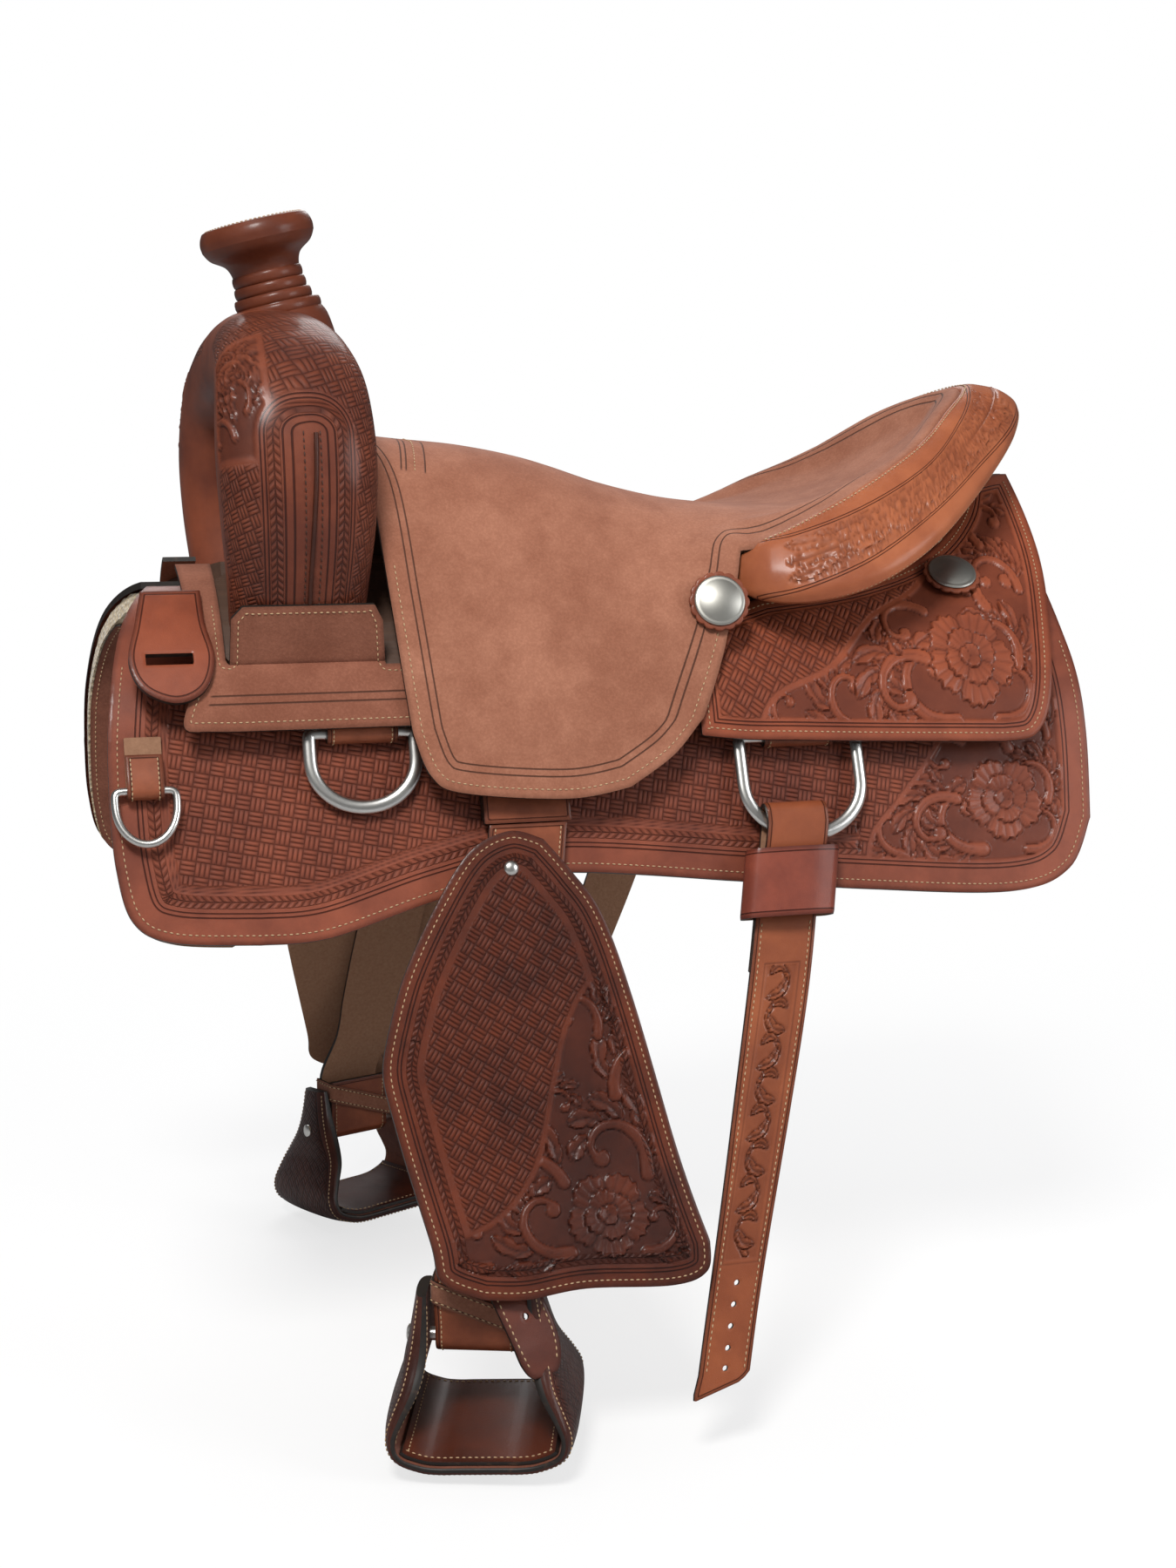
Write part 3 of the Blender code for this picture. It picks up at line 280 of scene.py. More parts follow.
def cut_leather(
    name, outline, grid, height, thick, side, finishes, tooling=None, place=lay, holes=(), lined=True
):
    """A sheet cut to an outline: fine squares on the face, a wall at the cut, and a back."""
    rim = evenly(outline, RIM_STEP, closed=True)
    x, s = np.meshgrid(*grid, indexing="ij")
    middle_x = (x[:-1, :-1] + x[1:, 1:]) / 2
    middle_s = (s[:-1, :-1] + s[1:, 1:]) / 2
    keep = within(evenly(outline, 0.002, closed=True), middle_x, middle_s)
    for hole in holes:
        keep &= ~within(hole, middle_x, middle_s)
    index = np.arange(x.size).reshape(x.shape)
    corners = (index[:-1, :-1], index[1:, :-1], index[1:, 1:], index[:-1, 1:])
    quads = np.stack([corner[keep] for corner in corners], 1)
    starts = quads.ravel()
    ends = np.roll(quads, -1, axis=1).ravel()
    keys = np.minimum(starts, ends) * x.size + np.maximum(starts, ends)
    _, first, count = np.unique(keys, return_index=True, return_counts=True)
    edge = first[count == 1]
    used, flat_index = np.unique(quads, return_inverse=True)
    quads = flat_index.reshape(quads.shape)
    renumber = np.full(x.size, -1)
    renumber[used] = np.arange(len(used))
    cut_from, cut_to = renumber[starts[edge]], renumber[ends[edge]]
    cut_points = np.unique(cut_from)
    px, ps = x.ravel()[used], s.ravel()[used]
    cuts = nearest_of(np.vstack([rim] + [evenly(hole, HOLE_STEP, closed=True) for hole in holes]))
    for i in cut_points:
        px[i], ps[i] = cuts.find((px[i], ps[i], 0))[0][:2]
    outer = nearest_of(rim)
    found = [outer.find((a, b, 0)) for a, b in zip(px, ps)]
    run = np.array([f[1] for f in found]) * RIM_STEP
    inset = np.array([f[2] for f in found])
    relief = np.zeros(len(px))
    marks = np.zeros((len(px), 3))
    if tooling is not None:
        relief, marks = tooling(px, ps, inset)
    under = height(px, ps) if callable(height) else np.full(len(px), height)
    top = under + thick + relief
    top[cut_points] -= min(0.0005, thick * 0.2)
    face = place(px, ps, top)
    low_from = np.arange(len(px)) if lined else cut_points
    low = place(px[low_from], ps[low_from], under[low_from])
    low_of = np.full(len(px), -1)
    low_of[low_from] = np.arange(len(low_from)) + len(px)
    source = np.concatenate([np.arange(len(px)), low_from])
    points = np.vstack([face, low])
    walls = np.stack([cut_to, cut_from, low_of[cut_from], low_of[cut_to]], 1)
    parts = [quads, walls]
    which = [np.zeros(len(quads), int), np.ones(len(walls), int)]
    if lined:
        parts.append(low_of[quads][:, ::-1])
        which.append(np.full(len(quads), min(2, len(finishes) - 1)))
    faces = np.vstack(parts)
    if side < 0:
        points[:, 1] *= -1
        faces = faces[:, ::-1]
    made = finished(name, points, faces, finishes, np.concatenate(which))
    hold(made, "flat", px[source], ps[source], relief[source])
    hold(made, "rim", run[source], inset[source])
    hold(made, "tool", *marks[source].T)
    return made


def squares(low_x, high_x, low_s, high_s, size):
    return np.arange(low_x, high_x + size, size), np.arange(low_s, high_s + size, size)


def trimmed(outline, margin):
    """The same outline, cut back by an even margin."""
    line = evenly(outline, 0.002, closed=True)
    ahead, behind = np.roll(line, -3, axis=0), np.roll(line, 3, axis=0)
    along = ahead - behind
    normal = unit(np.stack([-along[:, 1], along[:, 0]], 1))
    turn = np.sum(line[:, 0] * np.roll(line[:, 1], -1) - np.roll(line[:, 0], -1) * line[:, 1])
    return line + normal * (margin if turn > 0 else -margin)


class Brew:
    """A material being mixed: adds nodes and joins them up."""

    def __init__(self, name):
        self.finish = bpy.data.materials.new(name)
        self.finish.use_nodes = True
        self.tree = self.finish.node_tree
        self.shader = self.tree.nodes["Principled BSDF"]

    def node(self, kind, inputs=(), **settings):
        made = self.tree.nodes.new(kind)
        for key, value in settings.items():
            setattr(made, key, value)
        for socket, value in dict(inputs).items():
            self.join(value, made.inputs[socket])
        return made

    def join(self, value, socket):
        if isinstance(value, bpy.types.NodeSocket):
            self.tree.links.new(value, socket)
        elif isinstance(value, tuple) and len(value) == 3 and socket.type == "RGBA":
            socket.default_value = (*value, 1)
        else:
            socket.default_value = value

    def sum(self, operation, *terms, clamp=False):
        made = self.node("ShaderNodeMath", operation=operation, use_clamp=clamp)
        for socket, term in zip(made.inputs, terms):
            self.join(term, socket)
        return made.outputs[0]

    def add(self, first, second):
        return self.sum("ADD", first, second)

    def less(self, first, second):
        return self.sum("SUBTRACT", first, second)

    def times(self, first, second):
        return self.sum("MULTIPLY", first, second)

    def most(self, first, second, clamp=False):
        return self.sum("MAXIMUM", first, second, clamp=clamp)

    def apart(self, first, second):
        return self.sum("ABSOLUTE", self.less(first, second))

    def ramp(self, value, low, high, start=0.0, end=1.0):
        made = self.node("ShaderNodeMapRange", interpolation_type="SMOOTHSTEP")
        for socket, number in zip(made.inputs, (value, low, high, start, end)):
            self.join(number, socket)
        return made.outputs[0]

    def blend(self, share, first, second, mode="MIX"):
        made = self.node("ShaderNodeMix", data_type="RGBA", blend_type=mode)
        for socket, value in ((0, share), (6, first), (7, second)):
            self.join(value, made.inputs[socket])
        return made.outputs[2]

    def noise(self, scale, detail=3.0, rough=0.55, at=None):
        where = at or self.node("ShaderNodeTexCoord").outputs["Object"]
        inputs = {"Vector": where, "Scale": scale, "Detail": detail, "Roughness": rough}
        return self.node("ShaderNodeTexNoise", inputs).outputs["Fac"]

    def cells(self, scale, feature="F1"):
        where = self.node("ShaderNodeTexCoord").outputs["Object"]
        inputs = {"Vector": where, "Scale": scale}
        return self.node("ShaderNodeTexVoronoi", inputs, feature=feature).outputs["Distance"]

    def kept(self, name):
        """The three numbers that a mesh holds under a name."""
        read = self.node("ShaderNodeAttribute", attribute_name=name)
        return self.node("ShaderNodeSeparateXYZ", {"Vector": read.outputs["Vector"]}).outputs

    def trait(self, label, value):
        self.shader.inputs[label].default_value = value

    def done(self, colour, roughness, height=None):
        self.join(colour, self.shader.inputs["Base Color"])
        self.join(roughness, self.shader.inputs["Roughness"])
        if height is not None:
            bump = self.node("ShaderNodeBump", {"Height": height, "Distance": 1.0, "Strength": 1.0})
            self.join(bump.outputs["Normal"], self.shader.inputs["Normal"])
        return self.finish


def wool_finish():
    mix = Brew("fleece")
    curls = mix.cells(320.0)
    soft = mix.noise(90.0, 4.0)
    broad = mix.noise(9.0, 3.0)
    pale = mix.blend(broad, (0.62, 0.50, 0.33), (0.80, 0.71, 0.54))
    # Darker towards the edges of the curls, where the bump is lowest: painted shade in the hollows between
    # curls.
    colour = mix.blend(mix.ramp(curls, 0.1, 0.75), pale, (0.47, 0.36, 0.22))
    height = mix.add(mix.times(curls, -0.0014), mix.times(soft, 0.0020))
    mix.trait("Sheen Weight", 0.35)
    return mix.done(colour, 0.95, height)


FLEECE_FINISH = wool_finish()
SKIRT_FRONT, SKIRT_LOBE, SKIRT_BELLY, SKIRT_HEM, SKIRT_REAR = (curve_through(part) for part in (
    [(-0.330, 0.024), (-0.354, 0.090), (-0.366, 0.160), (-0.368, 0.212)],
    [(-0.368, 0.212), (-0.366, 0.255), (-0.357, 0.291), (-0.332, 0.306), (-0.275, 0.311)],
    [(-0.275, 0.311), (-0.228, 0.309), (-0.150, 0.287), (-0.070, 0.274), (0.062, 0.287)],
    [(0.062, 0.287), (0.159, 0.298), (0.270, 0.306), (0.318, 0.292), (0.340, 0.255)],
    [(0.340, 0.255), (0.345, 0.190), (0.343, 0.110), (0.338, 0.024)],
))
SKIRT_OUTLINE = np.vstack([SKIRT_FRONT[:-1], SKIRT_LOBE[:-1], SKIRT_BELLY[:-1], SKIRT_HEM[:-1], SKIRT_REAR])


def wool_under(x, s):
    tufts = rough_noise(x, s, 0.0075, 3) * 0.0011 + rough_noise(x, s, 0.0035, 4) * 0.0007
    return -WOOL + tufts


cover = trimmed(SKIRT_OUTLINE, 0.0022)
grid = squares(-0.370, 0.350, 0.020, 0.316, 0.0032)
for word, side in SIDES:
    fleece = cut_leather(f"wool_{word}", cover, grid, wool_under, WOOL - 0.0003, side, [FLEECE_FINISH] * 3)
    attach(fleece, "saddle")
    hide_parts(f"fleece_{word}")


# Skirts
# Chestnut leather with basket stamping, a braid along the hem and a carved rose
# in the rear corner. The cut edge is dyed black, and a row of tan thread near
# it sews the wool on.


def thread_finish(name="waxed_thread", dark=(0.36, 0.22, 0.11), light=(0.62, 0.44, 0.26)):
    mix = Brew(name)
    return mix.done(mix.blend(mix.noise(900.0, 2.0), dark, light), 0.6)


def edge_finish():
    mix = Brew("dyed_edge")
    wear = mix.ramp(mix.noise(160.0, 4.0), 0.55, 0.8)
    colour = mix.blend(wear, (0.014, 0.010, 0.008), (0.060, 0.030, 0.018))
    return mix.done(colour, 0.5)


def flesh_finish():
    """The unfinished back of the leather."""
    mix = Brew("leather_back")
    fibre = mix.noise(420.0, 4.0)
    colour = mix.blend(fibre, (0.20, 0.095, 0.050), (0.34, 0.18, 0.105))
    height = mix.times(fibre, 0.0004)
    return mix.done(colour, 0.92, height)


def layers(finish):
    """What a sheet of leather shows on its face, at its cut edge and on its back."""
    return [finish, CUT_EDGE, LEATHER_BACK]


def basket(mix, flat, pitch, angle):
    """The height, 0 to 1, of basket stamping at a pitch and an angle."""
    cos, sin = math.cos(angle) / pitch, math.sin(angle) / pitch
    u = mix.add(mix.times(flat[0], cos), mix.times(flat[1], sin))
    v = mix.add(mix.times(flat[0], -sin), mix.times(flat[1], cos))
    odd = mix.sum("FLOORED_MODULO", mix.add(mix.sum("FLOOR", u), mix.sum("FLOOR", v)), 2.0)
    even = mix.less(1.0, odd)
    fu, fv = mix.sum("FRACT", u), mix.sum("FRACT", v)
    long_way = mix.add(mix.times(fu, odd), mix.times(fv, even))
    short_way = mix.add(mix.times(fv, odd), mix.times(fu, even))
    arch = mix.sum("POWER", mix.sum("SINE", mix.times(long_way, math.pi)), 0.45)
    bars = mix.sum("ABSOLUTE", mix.sum("SINE", mix.times(short_way, math.pi * 3)))
    return mix.times(arch, mix.sum("POWER", bars, 0.6))


def plaited(mix, rim, start, end, pitch):
    """The height, 0 to 1, of a braid between two distances from the edge, and where it is."""
    fine_line = 0.0006
    half = (end - start) / 2
    across = mix.apart(rim[1], (start + end) / 2)
    slant = mix.sum("DIVIDE", mix.add(rim[0], across), pitch)
    wave = mix.less(1.0, mix.apart(mix.times(mix.sum("FRACT", slant), 2.0), 1.0))
    spine = mix.ramp(across, 0.0, fine_line)
    inside = mix.ramp(across, half, half - fine_line)
    return mix.times(mix.sum("POWER", wave, 0.6), spine), inside


def tooled_finish(
    name, light, dark, gloss=0.42, weave=0.0098, turn=12.0, creases=(), braid=None, edge_dark=0.5
):
    """Oiled leather. The mesh says where it is woven, braided or matted; creases are inset lines."""
    mix = Brew(name)
    flat, rim, tool = mix.kept("flat"), mix.kept("rim"), mix.kept("tool")
    tone = mix.add(mix.times(mix.noise(26.0, 5.0, 0.62), 0.55), mix.times(mix.noise(5.5, 3.0), 0.50))
    colour = mix.blend(mix.ramp(tone, 0.34, 0.74), dark, light)
    stamp = basket(mix, flat, weave, math.radians(turn))
    height = mix.times(mix.times(stamp, tool[0]), 0.0011)
    sunk = mix.times(mix.times(mix.less(1.0, stamp), tool[0]), 0.80)
    if braid is not None:
        plait, inside = plaited(mix, rim, *braid)
        share = mix.times(inside, tool[2])
        height = mix.add(height, mix.times(mix.times(plait, share), 0.0012))
        sunk = mix.most(sunk, mix.times(mix.times(mix.less(1.0, plait), share), 0.75))
    for place, width in creases:
        line = mix.ramp(mix.apart(rim[1], place), width, width * 0.25)
        height = mix.add(height, mix.times(line, -0.0008))
        sunk = mix.most(sunk, mix.times(line, 0.90))
    pebbles = mix.times(mix.ramp(mix.cells(620.0), 0.55, 0.15), mix.ramp(tool[1], 0.55, 0.9))
    height = mix.add(height, mix.times(pebbles, 0.0003))
    sunk = mix.most(sunk, mix.less(tool[1], mix.times(pebbles, 0.22)))
    grain = mix.ramp(mix.cells(1250.0, "DISTANCE_TO_EDGE"), 0.0, 0.12)
    height = mix.add(height, mix.times(grain, 0.00005))
    height = mix.add(height, mix.times(mix.noise(700.0, 3.0), 0.00008))
    burnish = mix.times(mix.ramp(rim[1], 0.0045, 0.0), edge_dark)
    deep = mix.blend(1.0, colour, (0.20, 0.12, 0.10), "MULTIPLY")
    colour = mix.blend(mix.most(sunk, burnish, clamp=True), colour, deep)
    scuff = mix.ramp(mix.noise(58.0, 6.0, 0.7), 0.60, 0.74)
    colour = mix.blend(mix.times(scuff, 0.16), colour, light)
    shine = mix.add(gloss, mix.times(mix.noise(44.0, 4.0), 0.16))
    shine = mix.add(shine, mix.times(sunk, 0.22))
    for label, value in (("Specular IOR Level", 0.24), ("Coat Weight", 0.22), ("Coat Roughness", 0.22)):
        mix.trait(label, value)
    return mix.done(colour, shine, height)


def stitching(name, rows, body, finish, pitch=0.0041, length=0.0029, thick=0.00100):
    """Thread sewn along rows of points, one small rounded stitch after another."""
    points, edges = [], []
    for row in rows:
        first = len(points)
        points += [tuple(p) for p in row]
        edges += [(k, k + 1) for k in range(first, len(points) - 1)]
    path = bpy.data.meshes.new(name)
    path.from_pydata(points, edges, [])
    sewn = bpy.data.objects.new(name, path)
    bpy.context.scene.collection.objects.link(sewn)
    work = sewn.modifiers.new("sew", "NODES")
    work.node_group = SEWING
    for label, value in (("Pitch", pitch), ("Length", length), ("Thickness", thick), ("Thread", finish)):
        work[SEWING.interface.items_tree[label].identifier] = value
    bpy.context.view_layer.update()
    solid = bpy.data.meshes.new_from_object(sewn.evaluated_get(bpy.context.evaluated_depsgraph_get()))
    sewn.modifiers.clear()
    sewn.data = solid
    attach(sewn, body)
    return sewn


def sewing_tree():
    tree = bpy.data.node_groups.new("sew", "GeometryNodeTree")
    panel = tree.interface
    panel.new_socket("Row", in_out="INPUT", socket_type="NodeSocketGeometry")
    for label in ("Pitch", "Length", "Thickness"):
        panel.new_socket(label, in_out="INPUT", socket_type="NodeSocketFloat")
    panel.new_socket("Thread", in_out="INPUT", socket_type="NodeSocketMaterial")
    panel.new_socket("Stitches", in_out="OUTPUT", socket_type="NodeSocketGeometry")
    wired(
        tree,
        (
            ("start", "NodeGroupInput"), ("end", "NodeGroupOutput"), ("line", "GeometryNodeMeshToCurve"),
            ("holes", "GeometryNodeCurveToPoints", "mode", "LENGTH"), ("bead", "GeometryNodeMeshIcoSphere"),
            ("shape", "ShaderNodeCombineXYZ"), ("sewn", "GeometryNodeInstanceOnPoints"),
            ("smooth", "GeometryNodeSetShadeSmooth"), ("real", "GeometryNodeRealizeInstances"),
            ("dyed", "GeometryNodeSetMaterial"),
        ),
        (("bead", "Subdivisions", 1), ("bead", "Radius", 0.5)),
        (
            ("start", "Row", "line", "Mesh"), ("line", "Curve", "holes", "Curve"),
            ("start", "Pitch", "holes", "Length"), ("holes", "Points", "sewn", "Points"),
            ("holes", "Rotation", "sewn", "Rotation"), ("bead", "Mesh", "smooth", "Geometry"),
            ("smooth", "Geometry", "sewn", "Instance"), ("start", "Thickness", "shape", "X"),
            ("start", "Thickness", "shape", "Y"), ("start", "Length", "shape", "Z"),
            ("shape", 0, "sewn", "Scale"), ("sewn", "Instances", "real", "Geometry"),
            ("real", "Geometry", "dyed", "Geometry"), ("start", "Thread", "dyed", "Material"),
            ("dyed", "Geometry", "end", "Stitches"),
        ),
    )
    return tree


SEWING = sewing_tree()
TAN_THREAD = thread_finish()
CUT_EDGE = edge_finish()
LEATHER_BACK = flesh_finish()
THREAD_UP = 0.0002


def sided(points, side):
    points = np.array(points, float)
    points[..., 1] *= side
    return points


def inset_rows(outline, margin, wanted, place, height, side):
    """Rows at one distance inside an outline, kept where they are wanted, laid on the surface."""
    line = evenly(trimmed(outline, margin), 0.0017, closed=True)
    good = wanted(line[:, 0], line[:, 1])
    if not good.all():
        start = int(np.argmin(good))
        line, good = np.roll(line, -start, axis=0), np.roll(good, -start)
    else:
        line, good = np.vstack([line, line[:1]]), np.append(good, True)
    rows, row = [], []
    for spot, fine in zip(line, good):
        if fine:
            row.append(spot)
        elif row:
            rows.append(row)
            row = []
    rows.append(row)
    made = []
    for row in rows:
        if len(row) > 4:
            row = np.array(row)
            high = height(row[:, 0], row[:, 1]) if callable(height) else height
            made.append(sided(place(row[:, 0], row[:, 1], high), side))
    return made


def near_line(x, s, line):
    """Distance to a line of points, how far along it (0 to 1), and which side."""
    line = np.asarray(line, float)
    run = run_along(line)
    best = np.full(x.shape, 1e9)
    along = np.zeros(x.shape)
    hand = np.ones(x.shape)
    for k in range(len(line) - 1):
        a, step = line[k], line[k + 1] - line[k]
        size = step @ step
        t = np.clip(((x - a[0]) * step[0] + (s - a[1]) * step[1]) / size, 0, 1)
        dx, ds = x - a[0] - t * step[0], s - a[1] - t * step[1]
        far = np.hypot(dx, ds)
        closer = far < best
        best = np.where(closer, far, best)
        along = np.where(closer, (run[k] + t * (run[k + 1] - run[k])) / run[-1], along)
        hand = np.where(closer, np.sign(step[0] * ds - step[1] * dx), hand)
    return best, along, hand


GROUND_DEPTH, GROUND_DARK = 0.0011, 0.52
PETAL_SOFT, LEAF_SOFT, STEM_SOFT = 0.0010, 0.0010, 0.0008


def pressed(relief, dark, inner, soft, form, shade, bevel, depth, black):
    """Lays one form over the carving, with a dark bevel pressed down round it."""
    over = eased(inner / soft)
    near = eased(1 + inner / bevel) * (1 - over)
    relief = relief * (1 - near) + near * depth
    dark = np.maximum(dark, near * black)
    return relief * (1 - over) + form * over, dark * (1 - over) + shade * over


def petal_rings(x, s, cx, cs, radius, petals, turn):
    """The three rings of a rose: how far inside a place is, the ring's lift, its form and shade."""
    reach = np.hypot(x - cx, s - cs)
    angle = np.arctan2(s - cs, x - cx) - turn
    rings = ((1.0, 0.0, petals), (0.60, 0.0006, petals - 1), (0.26, 0.0010, 3))
    for ring, (size, lift, count) in enumerate(rings):
        phase = angle + ring * 0.6
        lobe = np.abs(np.cos(count / 2 * phase))
        ruffle = 0.035 * np.cos(phase * count * 5) * (ring < 2)
        edge = radius * size * (0.78 + 0.20 * lobe**0.6 + ruffle)
        part = np.clip(reach / edge, 0, 1)
        veins = np.clip(np.cos(phase * count * 5), 0, 1) ** 3 * np.clip(part * 1.6 - 0.3, 0, 1)
        cup = lift - 0.0006 + 0.0019 * part**1.6 * lobe**0.5 - 0.0004 * veins
        shade = 0.55 * (1 - part) ** 1.1 + 0.75 * np.clip(1 - lobe * 5, 0, 1) + 0.30 * veins
        yield edge - reach, lift, cup, np.clip(shade, 0, 0.9)


def stem_form(far, along, width):
    """A stem's half width, its form and its shade."""
    half = width * (0.42 + 0.58 * (1 - along)) + width * 0.75 * np.exp(-(((along - 1) / 0.05) ** 2))
    return half, 0.0009 * np.sqrt(np.clip((half - far) / half, 0, 1)), 0.35 * np.clip(1 - far / 0.0005, 0, 1)


def leaf_form(far, along, hand, width, lobes):
    """A leaf's half width, its cupped form with a vein and cuts, and its shade."""
    swell = np.sin(np.pi * np.clip(along, 0.02, 1) ** 1.25) ** 0.62
    scallop = 0.62 + 0.38 * np.abs(np.sin(lobes * np.pi * along + hand * 0.25)) ** 0.55
    half = width * swell * scallop
    part = np.clip(far / np.maximum(half, 1e-4), 0, 1)
    vein = np.clip(1 - far / 0.0008, 0, 1)
    rib = np.mod(along * lobes - part * 0.45 + hand * 0.13, 1.0)
    cuts = np.clip(1 - np.abs(rib - 0.5) / 0.13, 0, 1) * (part > 0.12)
    form = -0.0006 + 0.0018 * part**0.7 * (1 - 0.5 * part**6) - 0.0004 * vein - 0.0004 * cuts
    return half, form, np.clip(0.75 * vein + 0.50 * cuts + 0.30 * (1 - part), 0, 0.85)


def carved(x, s, ground, marks):
    """Relief and darkness of leaves, stems and flowers cut into a matted ground."""
    relief, dark = -GROUND_DEPTH * ground, GROUND_DARK * ground
    for kind, *mark in marks:
        if kind == "flower":
            for inner, lift, form, shade in petal_rings(x, s, *mark):
                relief, dark = pressed(
                    relief, dark, inner, PETAL_SOFT, form, shade, 0.0013, lift - 0.0014, 0.92
                )
            continue
        line, width, lobes = mark
        far, along, hand = near_line(x, s, line)
        if kind == "stem":
            half, form, shade = stem_form(far, along, width)
        else:
            half, form, shade = leaf_form(far, along, hand, width, lobes)
        soft = STEM_SOFT if kind == "stem" else LEAF_SOFT
        relief, dark = pressed(relief, dark, half - far, soft, form, shade, 0.0012, -0.0015, 0.9)
    return relief, dark


def spray(cx, cs, size, turn, hand=1):
    """A scroll with leaves along its outside, from a starting place in a direction."""
    angle = turn + hand * np.linspace(0, 1, 30) ** 1.25 * 4.6
    reach = size * np.linspace(1.0, 0.30, 30)
    heading = np.cumsum(np.stack([np.cos(angle), np.sin(angle)], 1) * (reach / 11)[:, None], axis=0)
    line = heading + np.array([cx, cs])
    marks = []
    for k in (19, 14, 10, 6, 2):
        way = angle[k] - hand * 0.62
        cos, sin = math.cos(way), math.sin(way)
        out = np.array([[0, 0], [0.45, 0.03 * hand], [0.86, 0.36 * hand]]) * size * (0.98 - 0.026 * k)
        rotated = np.stack([out[:, 0] * cos - out[:, 1] * sin, out[:, 0] * sin + out[:, 1] * cos], 1)
        marks.append(("leaf", line[k] + curve_through(rotated, 6), size * 0.15, 2))
    marks.append(("stem", line, size * 0.11, 0))
    return marks


def sprays(scrolls):
    return [mark for scroll in scrolls for mark in spray(*scroll)]


GROUND_SOFT, CARVED_SOFT = 0.002, 0.0015


def carved_field(x, s, line, room, marks):
    """Carving on one side of a line: relief, darkness, how clear it is, and how far inside."""
    far, _, hand = near_line(x, s, curve_through(line))
    inside = np.minimum(far * np.where(hand > 0, 1, -1), room)
    relief, dark = carved(x, s, eased(inside / GROUND_SOFT), marks)
    return relief, dark, eased(inside / CARVED_SOFT), inside, far * hand


def woven_beyond(inside):
    """The share of basket stamping just outside the carving."""
    return 1 - eased((inside + 0.004) / CARVED_SOFT)


SKIRT_THICK, SKIRT_SEWN_AT = 0.0055, 0.00575
SKIRT_MARKS = sprays((
    (0.256, 0.274, 0.046, 3.05, 1), (0.198, 0.274, 0.034, 3.0, 1), (0.238, 0.238, 0.042, 3.5, -1),
    (0.284, 0.276, 0.034, 0.1, -1), (0.306, 0.244, 0.034, -1.1, -1), (0.282, 0.204, 0.042, -2.1, 1),
    (0.312, 0.196, 0.034, -1.5, -1), (0.246, 0.196, 0.032, -2.6, -1),
)) + [("flower", 0.272, 0.238, 0.0310, 5, 0.4)]
SKIRT_FIELD = ((0.160, 0.300), (0.166, 0.262), (0.192, 0.234), (0.222, 0.200), (0.252, 0.150), (0.265, 0.100))


def skirt_tooling(x, s, inset):
    room = inset - 0.0225
    relief, dark, clear, inside, _ = carved_field(x, s, SKIRT_FIELD, room, SKIRT_MARKS)
    corner = (x > 0.155) * 1.0
    ends = room - 0.0155 * (1 - corner)
    weave = woven_beyond(inside) * eased(ends / 0.001) * (s > 0.12)
    for place in (0.0345, 0.0370):
        cut = np.clip(1 - np.abs(inset - place) / 0.0008, 0, 1) * (1 - corner) * (s > 0.14)
        relief, dark = relief - 0.0006 * cut, np.maximum(dark, 0.85 * cut)
    clear = np.maximum(clear, 1 - corner)
    return relief * clear, np.stack([weave, dark * clear, (s > 0.14) * (1 - corner)], 1)


SKIRT_FINISH = tooled_finish(
    "skirt_leather", (0.305, 0.078, 0.038), (0.160, 0.038, 0.020),
    creases=((0.0175, 0.0007), (0.0205, 0.0006)), braid=(0.0235, 0.0325, 0.0058),
)
SKIRT_GRID = (
    np.arange(-0.3700, 0.3500, 0.00125),
    np.concatenate([np.arange(0.020, 0.130, 0.008), np.arange(0.1300, 0.3140, 0.00125)]),
)
for word, side in SIDES:
    skirt = cut_leather(
        f"tooled_skirt_{word}", SKIRT_OUTLINE, SKIRT_GRID, 0.0, SKIRT_THICK, side,
        layers(SKIRT_FINISH), skirt_tooling, lined=False,
    )
    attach(skirt, "saddle")
    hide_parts(f"skirt_{word}")
    rows = inset_rows(SKIRT_OUTLINE, 0.0060, lambda x, s: s > 0.12, lay, SKIRT_SEWN_AT, side)
    sewn = stitching(f"skirt_stitches_{word}", rows, "saddle", TAN_THREAD)


# Tree
# The hidden wooden frame: two bars along the back, a fork at the front, a
# cantle behind and the ground seat between, all under a rawhide cover. Its very
# dark brown is partly the cover's own colour and partly painted shade, so that
# the slivers seen in the gaps beside the seat and the swell look shaded.


def tree_dark_as_shade():
    mix = Brew("rawhide_dark_as_shade")
    where = mix.node("ShaderNodeTexCoord").outputs["Object"]
    streaks = mix.node("ShaderNodeMapping", {"Vector": where, "Scale": (6, 60, 60)})
    grain = mix.noise(4.0, 6.0, 0.6, streaks.outputs[0])
    # Very dark brown: partly the rawhide's own colour, partly painted shade for the gaps where the tree
    # shows.
    colour = mix.blend(grain, (0.045, 0.022, 0.013), (0.095, 0.045, 0.025))
    return mix.done(colour, 0.6, mix.times(grain, 0.0004))


TREE_DARK_AS_SHADE = tree_dark_as_shade()
for node in ("tree_bar_near", "tree_bar_off", "tree_fork", "tree_cantle", "ground_seat"):
    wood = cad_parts[node]
    for place in range(len(wood.material_slots)):
        wood.material_slots[place].material = TREE_DARK_AS_SHADE


# Swell and horn
# Basket-stamped leather pulled wet over the fork, with a welted seam down each
# side. The horn is wrapped in plain leather with a stitched cap on top.

SWELL_X = -0.237
# Across, up, half length and half thickness, from the near foot to the middle.
FORK_LINE = (
    (0.100, -0.022, 0.044, 0.0240),
    (0.117, 0.020, 0.047, 0.0280),
    (0.127, 0.062, 0.051, 0.0310),
    (0.124, 0.104, 0.053, 0.0330),
    (0.106, 0.142, 0.051, 0.0340),
    (0.072, 0.162, 0.047, 0.0345),
    (0.034, 0.170, 0.044, 0.0350),
    (0.000, 0.172, 0.043, 0.0355),
)


